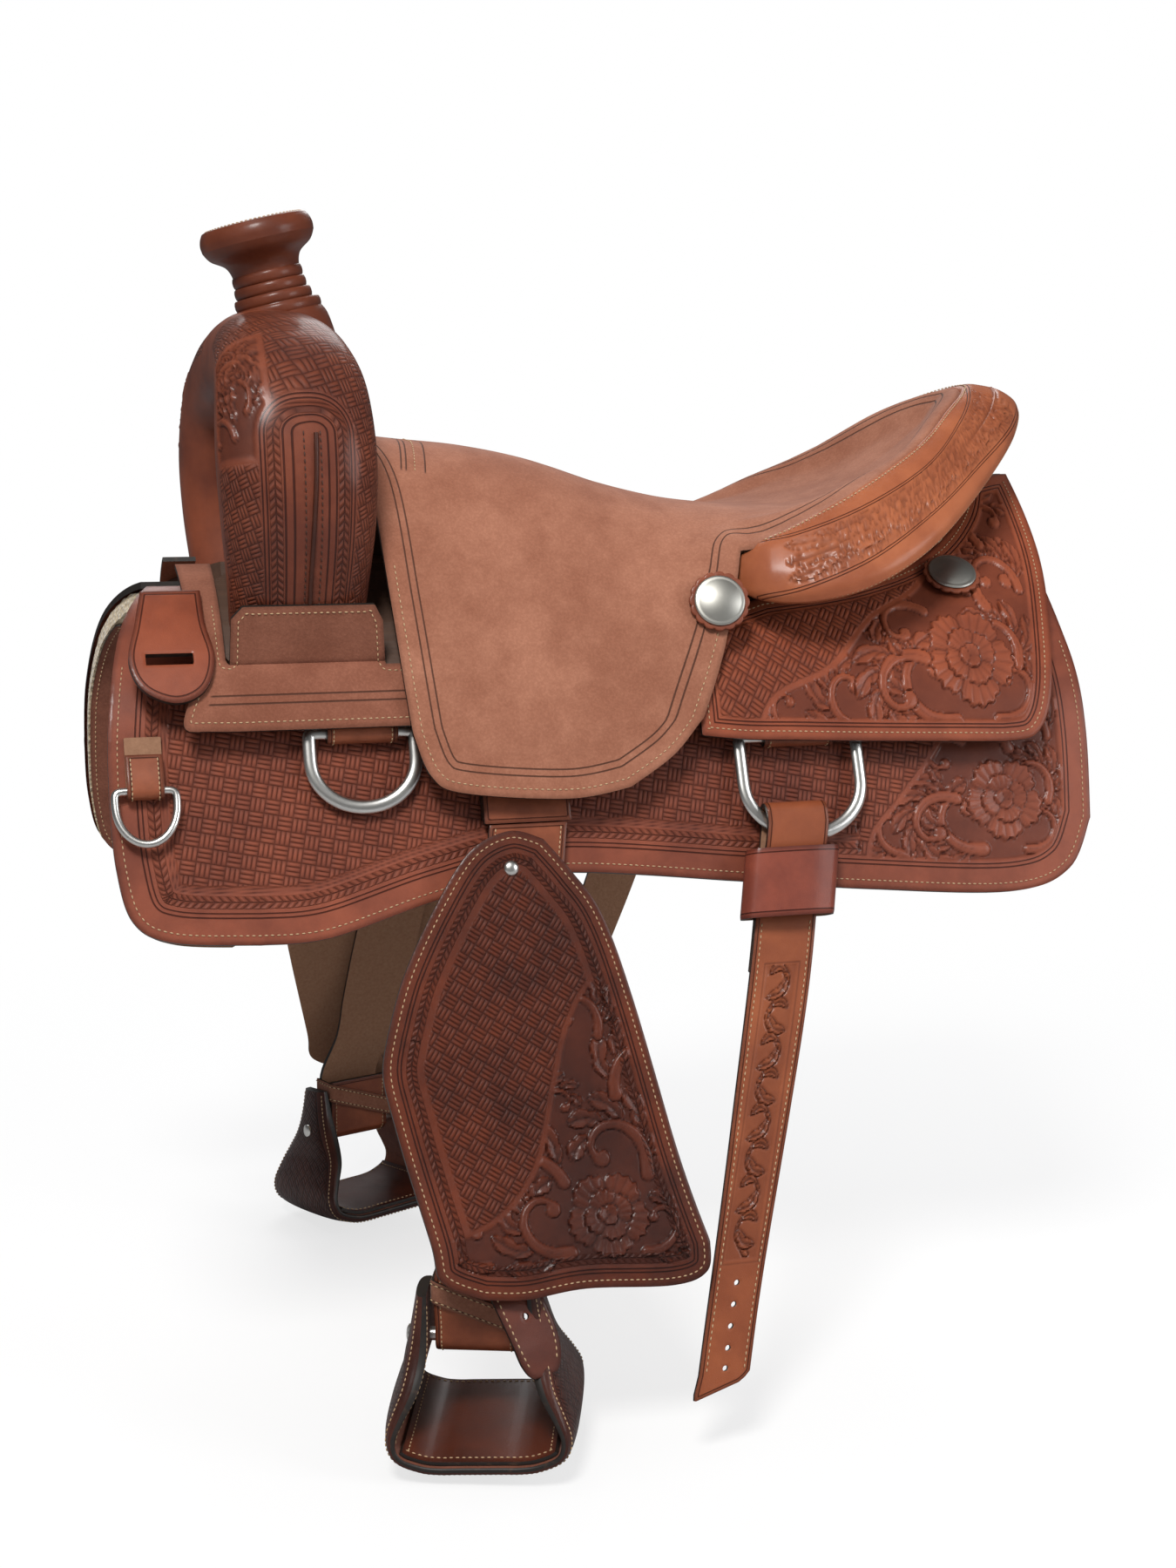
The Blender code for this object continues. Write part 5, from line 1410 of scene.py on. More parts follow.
JOCKEY_UNDER, JOCKEY_THICK = 0.0228, 0.0038
JOCKEY_TOP = JOCKEY_UNDER + JOCKEY_THICK
jockey_hem, jockey_rear, jockey_top = (curve_through(part) for part in (
    [(0.037, 0.186), (0.070, 0.190), (0.110, 0.192), (0.170, 0.195), (0.268, 0.199)],
    [(0.268, 0.199), (0.292, 0.195), (0.307, 0.172), (0.319, 0.126), (0.334, 0.070), (0.342, 0.004)],
    [(0.306, 0.004), (0.290, 0.026), (0.262, 0.047), (0.226, 0.064), (0.168, 0.082), (0.100, 0.092)],
))
JOCKEY_OUTLINE = np.vstack([jockey_hem[:-1], jockey_rear, jockey_top, [(0.037, 0.112)]])
JOCKEY_MARKS = sprays((
    (0.236, 0.182, 0.052, 3.05, 1), (0.170, 0.184, 0.042, 3.0, 1), (0.114, 0.184, 0.028, 3.0, 1),
    (0.218, 0.142, 0.046, 3.5, -1), (0.226, 0.108, 0.038, -2.5, -1), (0.262, 0.182, 0.040, 0.1, -1),
    (0.286, 0.150, 0.038, -1.2, -1), (0.276, 0.108, 0.044, -2.0, 1), (0.306, 0.096, 0.036, -1.5, -1),
    (0.292, 0.060, 0.036, -2.0, 1),
)) + [("flower", 0.250, 0.140, 0.0340, 5, 0.2)]
JOCKEY_FIELD = (
    (0.075, 0.205), (0.092, 0.166), (0.140, 0.146), (0.180, 0.112), (0.226, 0.086), (0.268, 0.040),
    (0.285, -0.01),
)


def jockey_tooling(x, s, inset):
    room = inset - 0.0145
    relief, dark, clear, inside, _ = carved_field(x, s, JOCKEY_FIELD, room, JOCKEY_MARKS)
    weave = woven_beyond(inside) * eased(room / 0.001)
    return relief * clear, np.stack([weave, dark * clear, weave * 0], 1)


JOCKEY_FINISH = tooled_finish(
    "jockey_leather", (0.365, 0.088, 0.036), (0.210, 0.046, 0.019), turn=35.0,
    creases=((0.0098, 0.0007), (0.0124, 0.0007)),
)
for word, side in SIDES:
    jockey = cut_leather(
        f"rear_jockey_leather_{word}", JOCKEY_OUTLINE, squares(0.034, 0.345, 0.002, 0.201, 0.0011),
        JOCKEY_UNDER, JOCKEY_THICK, side, layers(JOCKEY_FINISH), jockey_tooling, lined=False,
    )
    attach(jockey, "saddle")
    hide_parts(f"rear_jockey_{word}")
    rows = inset_rows(JOCKEY_OUTLINE, 0.0060, lambda x, s: s > 0.012, lay, JOCKEY_TOP + THREAD_UP, side)
    sewn = stitching(f"rear_jockey_stitches_{word}", rows, "saddle", TAN_THREAD)

EAR_FOLD = 9 * ARC / 12
EAR_FRONT = -0.287
FRONT_OUTLINE = np.vstack([
    curve_through([(-0.309, 0.143), (-0.319, 0.168), (-0.300, 0.1715), (-0.248, 0.1720), (-0.165, 0.172)]),
    [(-0.140, 0.165), (-0.140, 0.134), (-0.181, 0.134), (-0.184, 0.100), (-0.190, 0.0885), (-0.278, 0.0885)],
    [(-0.2855, 0.097), (-0.2860, EAR_FOLD), (-0.2885, EAR_FOLD), (-0.288, 0.040), (-0.312, 0.040)],
])


def on_swell(x, s, h):
    """Laid on the saddle, but the ear bends up the foot of the swell."""
    x, s, h = np.broadcast_arrays(np.asarray(x, float), s, h)
    flat = lay(x, s, h)
    foot = lay(x, np.full(x.shape, EAR_FOLD), np.full(x.shape, JOCKEY_UNDER))
    climb = np.array([0, 0.281, 0.960])
    away = np.array([0, 0.960, -0.281])
    risen = foot + climb * (EAR_FOLD - s)[..., None] + away * (h - JOCKEY_UNDER)[..., None]
    bends = (x >= EAR_FRONT) & ((s < EAR_FOLD) | (np.abs(s - EAR_FOLD) < 0.004))
    share = eased((EAR_FOLD + 0.004 - s) / 0.008)[..., None]
    return np.where(bends[..., None], flat * (1 - share) + risen * share, flat)


def front_lines(x, s, inset):
    """Two pressed lines run along the lower edge only."""
    reach = (inset > 0.0125) & (s > 0.139)
    return np.zeros(x.shape), np.stack([0.1720 - s, reach * 1.0, s * 0], 1)


FRONT_SUEDE = suede_finish(
    "front_jockey_suede", (0.400, 0.165, 0.105), (0.280, 0.105, 0.064),
    arcs=((0.0155, 0.0008), (0.0205, 0.0008)),
)
FRONT_GRID = (np.arange(-0.3200, -0.1385, 0.0019), np.arange(0.0395, 0.1735, 0.0019))
for word, side in SIDES:
    jockey = cut_leather(
        f"front_jockey_suede_{word}", FRONT_OUTLINE, FRONT_GRID, JOCKEY_UNDER, JOCKEY_THICK, side,
        layers(FRONT_SUEDE), front_lines, on_swell,
    )
    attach(jockey, "saddle")
    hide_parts(f"front_jockey_{word}")
    rows = inset_rows(
        FRONT_OUTLINE, 0.0048, lambda x, s: (s > 0.090) & (x < -0.150), on_swell,
        JOCKEY_TOP + THREAD_UP, side,
    )
    sewn = stitching(f"front_jockey_stitches_{word}", rows, "saddle", TAN_THREAD)


# Rigging and dees
# Flat bright dees hang in leather folded round their bars and sewn to the tree
# through the skirt: a large one behind for the billet, a smaller one in front.


def strap_frames(points, across, out):
    """A strap's middle line with its width direction and its outward face at each point."""
    across, out = np.broadcast_to(across, points.shape), np.broadcast_to(out, points.shape)
    return run_along(points), points, across, out


def on_strap(frames):
    """A place function for leather that follows a strap's line."""
    run, middle, across, out = frames

    def place(u, v, h):
        u, v, h = np.broadcast_arrays(np.asarray(u, float), v, h)
        wide, face = unit(read_at(v, run, across)), unit(read_at(v, run, out))
        return read_at(v, run, middle) + wide * u[..., None] + face * h[..., None]

    return place


def pattern_path(line, x):
    """A strap along (s, h) points in the side pattern: its line, width direction and outward face."""
    path = evenly(curve_through(line, 6), 0.0008)
    points = lay(np.full(len(path), x), path[:, 0], path[:, 1])
    across = np.tile([1.0, 0.0, 0.0], (len(points), 1))
    return strap_frames(points, across, np.cross(across, np.gradient(points, axis=0)))


ROW_STEP, ROW_END = 0.0016, 0.004


def plain_strap(
    name, frames, half, thick, finishes, body, side, size=0.0012, tip=None, holes=(),
    tooling=None, stitch=0.0042, rows=True,
):
    """A strap cut, edged and sewn along both edges, riding on one body."""
    length = frames[0][-1]
    outline = np.array([(-half, 0.0), (half, 0.0), (half, length), (-half, length)]) if tip is None else tip
    place = on_strap(frames)
    (low_u, low_v), (high_u, high_v) = outline.min(axis=0) - 0.0002, outline.max(axis=0) + 0.0002
    grid = squares(low_u, high_u, low_v, high_v, size)
    made = cut_leather(name, outline, grid, -thick / 2, thick, side, finishes, tooling, place, holes)
    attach(made, body)
    if rows:
        sewn_rows = []
        for edge in (half - stitch, stitch - half):
            v = np.arange(ROW_END, length - ROW_END, ROW_STEP)
            sewn_rows.append(sided(place(edge, v, thick / 2 + THREAD_UP), side))
        sewn = stitching(name + "_stitches", sewn_rows, body, TAN_THREAD, 0.0034)
    return made


HARNESS = tooled_finish(
    "harness_leather", (0.330, 0.092, 0.038), (0.150, 0.036, 0.015), gloss=0.44,
    creases=((0.0026, 0.0005),), edge_dark=0.6,
)
STRAP_FINISHES = layers(HARNESS)


def rounded_dee(name, across, down, out, width, leg, bow, pivot, wide, thick):
    """A flat-wire dee: a straight bar, two legs and a half-round bow, with eased edges."""
    tip, mid = across * 0.5 * width, across * 0.25 * width
    angles = np.linspace(math.pi, 0, 121)
    path = [-tip, -mid, across * 0, mid, tip, tip + down * leg * 0.5]
    path += [-across * math.cos(a) * width / 2 + down * (leg + math.sin(a) * bow) for a in angles]
    path += [-tip + down * leg * 0.5]
    smooth = evenly(np.array(path), 0.0016, closed=True) + pivot
    for _ in range(8):
        smooth = (np.roll(smooth, 1, axis=0) + smooth * 2 + np.roll(smooth, -1, axis=0)) / 4
    return tube(name, smooth, (thick, wide), STEEL, 12, True, out)


BAR_RADIUS = 0.0055
REAR_SPOT, FRONT_SPOT, BREAST_SPOT = (0.112, 0.186, 0.0128), (-0.200, 0.172, 0.0128), (-0.345, 0.206, 0.0118)
DEE_TILT = math.radians(4)
DEES = (
    ("rear_dee", REAR_SPOT, DEE_TILT, (0.0885, 0.035, 0.0375), (0.0046, 0.0025)),
    ("front_dee", FRONT_SPOT, 0, (0.0720, 0.020, 0.032), (0.0046, 0.0025)),
    ("breast_dee", BREAST_SPOT, DEE_TILT, (0.040, 0.010, 0.026), (0.0027, 0.0023)),
)
for word, side in SIDES:
    down = np.array([0, side * math.cos(SIDE_ANGLE), -math.sin(SIDE_ANGLE)])
    out = np.array([0, side * math.sin(SIDE_ANGLE), math.cos(SIDE_ANGLE)])
    for label, spot, tilt, form, wire in DEES:
        leaned = down * math.cos(tilt) + out * math.sin(tilt)
        facing = out * math.cos(tilt) - down * math.sin(tilt)
        pivot = sided(lay(*spot), side)
        ring = rounded_dee(
            f"{label}_ring_{word}", np.array([1.0, 0, 0]), leaned, facing, *form, pivot, *wire
        )
        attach(ring, f"{label}_{word}")
        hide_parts(f"{label}_{word}")
    for label, (x, s, h), half in (("rear", REAR_SPOT, 0.026), ("front", FRONT_SPOT, 0.024)):
        line = [(s - 0.022, 0.0124), (s - 0.012, h + BAR_RADIUS - 0.0006)]
        for a in np.linspace(math.pi / 2, -math.pi / 2, 7):
            line.append((s + BAR_RADIUS * math.cos(a) * 1.25, h + BAR_RADIUS * math.sin(a)))
        line += [(s - 0.012, 0.0078), (s - 0.028, 0.0078)]
        frames = pattern_path(line, x)
        fold = plain_strap(
            f"{label}_rigging_leather_{word}", frames, half, 0.0026, STRAP_FINISHES, "saddle", side
        )
        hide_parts(f"{label}_rigging_{word}")


# Rear billets
# A billet is one long strap of lighter leather, folded round the dee and closed
# by a broad plain loop. It has a carved vine below the loop, five holes, a row
# of thread along both edges and a slanted tip.

# Distance down the side, and place along.
BILLET_LINE = ((0.250, 0.1020), (0.350, 0.0825), (0.450, 0.0575), (0.570, 0.0258), (0.640, 0.0085))
BILLET_HALF, BILLET_TAPER, BILLET_THICK = 0.0225, 0.0045, 0.0034
DEE_REACH = 0.0725


def billet_middle(s):
    places = [p[0] for p in BILLET_LINE]
    return knot_values(places, [np.float64(p[1]) for p in BILLET_LINE], np.clip(s, places[0], places[-1]))


def billet_path():
    bar_s = REAR_SPOT[1] + DEE_REACH * math.cos(DEE_TILT)
    bar_h = REAR_SPOT[2] + DEE_REACH * math.sin(DEE_TILT)
    radius = 0.0026 + 0.0029 + 0.0017
    turn_s = bar_s - 0.0150
    line = [(0.352, 0.0106), (0.310, 0.0106), (0.280, 0.0106), (bar_s + 0.006, bar_h - radius)]
    for a in np.radians(-90 - 30 * np.arange(7)):
        line.append((turn_s + radius * math.cos(a), bar_h + radius * math.sin(a)))
    line += [(bar_s + 0.006, bar_h + radius), (0.275, 0.0198), (0.290, 0.0158), (0.310, 0.0144)]
    line += [(s, 0.0142) for s in (0.352, 0.430, 0.500, 0.592, 0.640)]
    path = evenly(curve_through(line, 8), 0.0010)
    points = lay(billet_middle(path[:, 0]), path[:, 0], path[:, 1])
    across = np.tile([1.0, 0.0, 0.0], (len(points), 1))
    return strap_frames(points, across, np.cross(across, np.gradient(points, axis=0))), path[:, 0]


BILLET_FRAMES, BILLET_PLACES = billet_path()
BILLET_RUN = BILLET_FRAMES[0]
billet_top = int(np.argmin(BILLET_PLACES))


def run_of(s):
    return float(np.interp(s, BILLET_PLACES[billet_top:], BILLET_RUN[billet_top:]))


BILLET_END = run_of(0.626)


def billet_half(v):
    s = np.interp(v, BILLET_RUN, BILLET_PLACES)
    late = v > BILLET_RUN[billet_top]
    return BILLET_HALF - BILLET_TAPER * np.where(late, eased((s - 0.345) / 0.25), 0.0)


def round_hole(radius, place):
    turns = np.linspace(0, 2 * math.pi, 24, endpoint=False)
    return np.column_stack([radius * np.cos(turns), place + radius * np.sin(turns)])


billet_edge = np.linspace(0, BILLET_END - 0.008, 60)
BILLET_OUTLINE = np.vstack([
    np.column_stack([billet_half(billet_edge), billet_edge]),
    [(0.0150, run_of(0.622)), (0.0110, run_of(0.625)), (-0.0190, run_of(0.6345)), (-0.0195, run_of(0.630))],
    np.column_stack([-billet_half(billet_edge), billet_edge])[::-1],
])
BILLET_HOLES = [round_hole(0.0019, run_of(s)) for s in (0.560, 0.574, 0.588, 0.602, 0.615)]
VINE_START, VINE_END, VINE_PITCH = run_of(0.348), run_of(0.546), 0.0245


def vine_marks():
    marks = []
    v = np.linspace(VINE_START + 0.004, VINE_END - 0.004, 60)
    wave = 0.0060 * np.sin((v - VINE_START) / VINE_PITCH * math.pi)
    marks.append(("stem", np.column_stack([wave, v]), 0.0016, 0))
    for k, place in enumerate(np.arange(VINE_START + 0.012, VINE_END - 0.012, VINE_PITCH)):
        hand = 1 if k % 2 else -1
        for form, width, lobes in (
            (((-0.0050, -0.002), (-0.0010, 0.008), (0.0085, 0.011)), 0.0042, 2),
            (((-0.0050, -0.006), (0.0020, -0.010), (0.0080, -0.005)), 0.0030, 1),
        ):
            leaf = [(wide * hand, place + ahead) for wide, ahead in form]
            marks.append(("leaf", curve_through(leaf, 6), width, lobes))
    return marks


VINE_MARKS = vine_marks()


def billet_tooling(u, v, inset):
    inside = np.minimum(0.0118 - np.abs(u), np.minimum(v - VINE_START, VINE_END - v))
    relief, dark = carved(u, v, eased(inside / 0.0012) * 0.35, VINE_MARKS)
    clear = eased(inside / 0.001)
    frame_line = np.clip(1 - np.abs(inside + 0.0012) / 0.0006, 0, 1)
    shade = np.maximum(dark * clear, frame_line * 0.85)
    return relief * clear - 0.0003 * frame_line, np.stack([clear * 0, shade, clear * 0], 1)


BILLET_LEATHER = tooled_finish(
    "billet_leather", (0.360, 0.100, 0.036), (0.225, 0.056, 0.021), gloss=0.38,
    creases=((0.0024, 0.0005),), edge_dark=0.55,
)
KEEPER_LEATHER = tooled_finish(
    "keeper_leather", (0.290, 0.066, 0.036), (0.150, 0.032, 0.020), gloss=0.40,
    creases=((0.0035, 0.0006),), edge_dark=0.6,
)
KEEPER_S, KEEPER_H, KEEPER_HALF, KEEPER_DEEP = 0.2915, 0.0181, 0.03325, 0.0112
KEEPER_RING = (
    (-1, 0), (-0.93, 0.55), (-0.80, 0.80), (-0.35, 1), (0.35, 1), (0.80, 0.80), (0.93, 0.55),
    (1, 0), (0.96, -0.6), (0.85, -0.90), (0.35, -1), (-0.35, -1), (-0.85, -0.90), (-0.96, -0.6),
)


def closed_band(name, loop, across, half, thick, finishes, body, side, stitch=None):
    """A strap closed round others: a ring of middle points with one width direction."""
    step = 0.0012
    loop = evenly(loop, step, closed=True)
    along = np.roll(loop, -1, axis=0) - np.roll(loop, 1, axis=0)
    across = np.broadcast_to(across, loop.shape)
    outs = unit(np.cross(along, across))
    if np.mean(np.sum(outs * (loop - loop.mean(axis=0)), axis=1)) < 0:
        outs = -outs
    widths = np.linspace(-half, half, 22)
    count, rows = len(loop), len(widths)
    eased_edge = 0.0004 * (np.abs(widths) > half - 0.0005)
    flat = loop[:, None] + across[:, None] * widths[None, :, None]
    outer = flat + outs[:, None] * (thick / 2 - eased_edge)[None, :, None]
    inner = flat - outs[:, None] * thick / 2
    index = np.arange(count * rows).reshape(count, rows)
    ahead = np.roll(index, -1, axis=0)
    quads = np.stack([index[:, :-1], index[:, 1:], ahead[:, 1:], ahead[:, :-1]], -1).reshape(-1, 4)
    shift = count * rows
    walls = np.vstack([
        np.stack([index[:, 0], ahead[:, 0], ahead[:, 0] + shift, index[:, 0] + shift], -1),
        np.stack([ahead[:, -1], index[:, -1], index[:, -1] + shift, ahead[:, -1] + shift], -1),
    ])
    faces = np.vstack([quads, walls, (quads + shift)[:, ::-1]])
    points = np.vstack([outer.reshape(-1, 3), inner.reshape(-1, 3)])
    first = quads[0]
    normal = np.cross(points[first[1]] - points[first[0]], points[first[2]] - points[first[0]])
    if normal @ outs[0] < 0:
        faces = faces[:, ::-1]
    which = np.concatenate([np.zeros(len(quads)), np.ones(len(walls)), np.full(len(quads), 2)])
    made = finished(name, sided(points, side), faces[:, ::-1] if side < 0 else faces, finishes, which)
    run = np.tile(np.repeat(np.arange(count) * step, rows), 2)
    hold(made, "flat", run, np.tile(widths, count * 2))
    hold(made, "rim", run, np.tile(half - np.abs(widths), count * 2))
    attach(made, body)
    if stitch is not None:
        rows_made = []
        for edge in (half - stitch, stitch - half):
            ring = loop + across * edge + outs * (thick / 2 + THREAD_UP)
            rows_made.append(sided(np.vstack([ring, ring[:1]]), side))
        sewn = stitching(name + "_stitches", rows_made, body, TAN_THREAD)
    return made


for word, side in SIDES:
    billet = plain_strap(
        f"billet_strap_{word}", BILLET_FRAMES, BILLET_HALF, BILLET_THICK, layers(BILLET_LEATHER),
        f"rear_billet_{word}", side, 0.0010, BILLET_OUTLINE, BILLET_HOLES, tooling=billet_tooling, rows=False,
    )
    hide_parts(f"rear_billet_{word}")
    place = on_strap(BILLET_FRAMES)
    v = np.arange(run_of(0.320), BILLET_END - 0.010, ROW_STEP)
    rows = [sided(place(hand * (billet_half(v) - 0.0046), v, 0.0019), side) for hand in (-1, 1)]
    sewn = stitching(f"billet_stitches_{word}", rows, f"rear_billet_{word}", TAN_THREAD)
    ring = [(a * KEEPER_HALF, KEEPER_H + b * KEEPER_DEEP) for a, b in KEEPER_RING]
    ring = curve_through(ring + ring[:1], 5)[:-1]
    middle = float(billet_middle(np.array([KEEPER_S]))[0])
    loop = lay(middle + ring[:, 0], np.full(len(ring), KEEPER_S), ring[:, 1])
    slope = float(billet_middle(np.array([0.316]))[0] - billet_middle(np.array([0.267]))[0])
    across = np.array([slope, 0.049 * math.cos(SIDE_ANGLE), -0.049 * math.sin(SIDE_ANGLE)])
    across /= np.linalg.norm(across)
    keeper = closed_band(
        f"billet_loop_{word}", loop, across, 0.0245, 0.0022, layers(KEEPER_LEATHER),
        f"billet_keeper_{word}", side,
    )
    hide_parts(f"billet_keeper_{word}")


# Stirrup leathers, fenders and hobble straps
# A doubled strap hangs from the bar and goes round the stirrup bolt. The tooled
# fender is sewn and riveted to its face, and a rough-out hobble strap goes
# round both runs above the stirrup.

SWING_X, SWING_S, LIFT_S, PIVOT_UNDER, STRAP_THICK = -0.090, 0.215, 0.240, 0.0113, 0.0045
BOLT_X, BOLT_S, BOLT_H = -0.145, 0.578, -0.019
STIRRUP_TURN, STIRRUP_TILT, STIRRUP_ROLL = math.radians(20), math.radians(6), math.radians(2.5)
LEATHER_HALF, TOP_HALF = 0.0272, 0.0305
BOLT_CENTRE = lay(BOLT_X, BOLT_S, BOLT_H)
BOLT_ALONG = np.array([math.cos(STIRRUP_TURN), math.sin(STIRRUP_TURN), 0])
BOLT_DEEP = np.array([-math.sin(STIRRUP_TURN), math.cos(STIRRUP_TURN), 0])
UP = np.array([0.0, 0.0, 1.0])
SIDE_OUT = np.array([0, math.sin(SIDE_ANGLE), math.cos(SIDE_ANGLE)])


def hanging_frames():
    """The lower leather from the hinge down, round the bolt and up again behind."""
    hung = PIVOT_UNDER + STRAP_THICK / 2
    runs = (
        (LIFT_S + 0.0005, 0.0, hung), (0.290, 0.0, hung), (0.340, 0.0, hung),
        (0.420, 0.02, 0.0125), (0.465, 0.12, 0.0090), (0.502, 0.40, 0.0050),
    )
    frames = []
    for s, turn, height in runs:
        share = (s - LIFT_S) / (BOLT_S - LIFT_S)
        wide = np.array([1.0, 0, 0]) * (1 - turn) + BOLT_ALONG * turn
        face = SIDE_OUT * (1 - turn) + BOLT_DEEP * turn
        spot = lay(SWING_X + (BOLT_X - SWING_X) * share, s, height)
        frames.append((spot, wide / np.linalg.norm(wide), face / np.linalg.norm(face)))
    wrap = 0.0048 + 0.0010 + STRAP_THICK / 2
    for above in (0.045, 0.010):
        frames.append((BOLT_CENTRE + UP * above + BOLT_DEEP * wrap, BOLT_ALONG, BOLT_DEEP))
    for angle in np.linspace(0, math.pi, 9):
        away = BOLT_DEEP * math.cos(angle) - UP * math.sin(angle)
        frames.append((BOLT_CENTRE + away * wrap, BOLT_ALONG, away))
    frames.append((BOLT_CENTRE + UP * 0.042 - BOLT_DEEP * (wrap + 0.0008), BOLT_ALONG, -BOLT_DEEP))
    points, across, outs = (curve_through(np.array(part), 6) for part in zip(*frames))
    return strap_frames(points, across, outs)


HANGING = hanging_frames()
FENDER_UNDER, FENDER_THICK = 0.0165, 0.0040
FENDER_OUTLINE = np.vstack([curve_through(part)[:-1] for part in (
    [(-0.198, 0.377), (-0.184, 0.338), (-0.159, 0.293), (-0.133, 0.258), (-0.105, 0.2455), (-0.082, 0.252)],
    [(-0.082, 0.252), (-0.064, 0.275), (-0.045, 0.306), (-0.028, 0.366), (-0.003, 0.486), (0.008, 0.530)],
    [(0.008, 0.530), (0.004, 0.549), (-0.020, 0.556), (-0.080, 0.552), (-0.121, 0.555), (-0.150, 0.552)],
    [(-0.150, 0.552), (-0.176, 0.538), (-0.181, 0.512), (-0.198, 0.434), (-0.203, 0.402), (-0.198, 0.377)],
)])
FENDER_MARKS = sprays((
    (-0.030, 0.486, 0.048, -1.4, -1), (-0.046, 0.432, 0.044, -1.7, 1), (-0.086, 0.486, 0.044, -2.0, -1),
    (-0.084, 0.528, 0.044, 3.05, 1), (-0.140, 0.532, 0.034, 3.05, 1), (-0.040, 0.532, 0.034, 0.1, -1),
    (-0.056, 0.390, 0.034, -1.3, -1), (-0.098, 0.444, 0.026, -1.8, 1),
)) + [("flower", -0.060, 0.506, 0.0290, 5, 0.3)]
FENDER_FIELD = (
    (-0.215, 0.500), (-0.165, 0.512), (-0.130, 0.500), (-0.104, 0.470), (-0.090, 0.425),
    (-0.076, 0.380), (-0.056, 0.350), (-0.030, 0.335),
)


def fender_height(x, s):
    return FENDER_UNDER + 0.0095 * eased((s - 0.450) / 0.100)


def fender_tooling(x, s, inset):
    relief, dark, clear, inside, beyond = carved_field(x, s, FENDER_FIELD, inset - 0.0135, FENDER_MARKS)
    weave = woven_beyond(inside) * eased((inset - 0.0270) / 0.001)
    return relief * clear, np.stack([weave, dark * clear, (beyond < 0.002) | (inset < 0.022)], 1)


FENDER_FINISH = tooled_finish(
    "fender_leather", (0.155, 0.030, 0.010), (0.056, 0.011, 0.005), gloss=0.34, weave=0.0092, turn=35.0,
    creases=((0.0094, 0.0006), (0.0118, 0.0006)), braid=(0.0150, 0.0225, 0.0050),
)


def over_bar(x, s):
    """The fixed run of leather steps down off the bar to the skirt."""
    return JOCKEY_UNDER + (0.0062 - JOCKEY_UNDER) * eased((s - 0.137) / 0.036)


WEST, EAST = SWING_X - TOP_HALF, SWING_X + TOP_HALF
TOP_OUTLINE = np.array([(WEST, 0.060), (EAST, 0.060), (EAST, 0.236), (WEST, 0.236)])
arch = np.linspace(0, math.pi, 24)
PIVOT_OUTLINE = np.vstack([
    np.column_stack([SWING_X - TOP_HALF * np.cos(arch), SWING_S - TOP_HALF * np.sin(arch)]),
    [(EAST, LIFT_S - 0.0005), (WEST, LIFT_S - 0.0005)],
])
RIVET_DOME = (
    (0, -0.0010), (0.0052, -0.0010), (0.0052, 0.0004), (0.0046, 0.0014), (0.0030, 0.0022), (0.0012, 0.0025),
    (0, 0.0026),
)
HOBBLE_CORNERS = ((-1, 1), (1, 1), (1, -1), (-1, -1))
HOBBLE_WIDE, HOBBLE_DEEP, HOBBLE_UP, HOBBLE_SLANT = LEATHER_HALF + 0.0016, 0.0131, 0.0235, 0.010
HOBBLE_SUEDE = suede_finish(
    "hobble_suede", (0.400, 0.190, 0.125), (0.270, 0.115, 0.072), creases=((0.0022, 0.0005),)
)


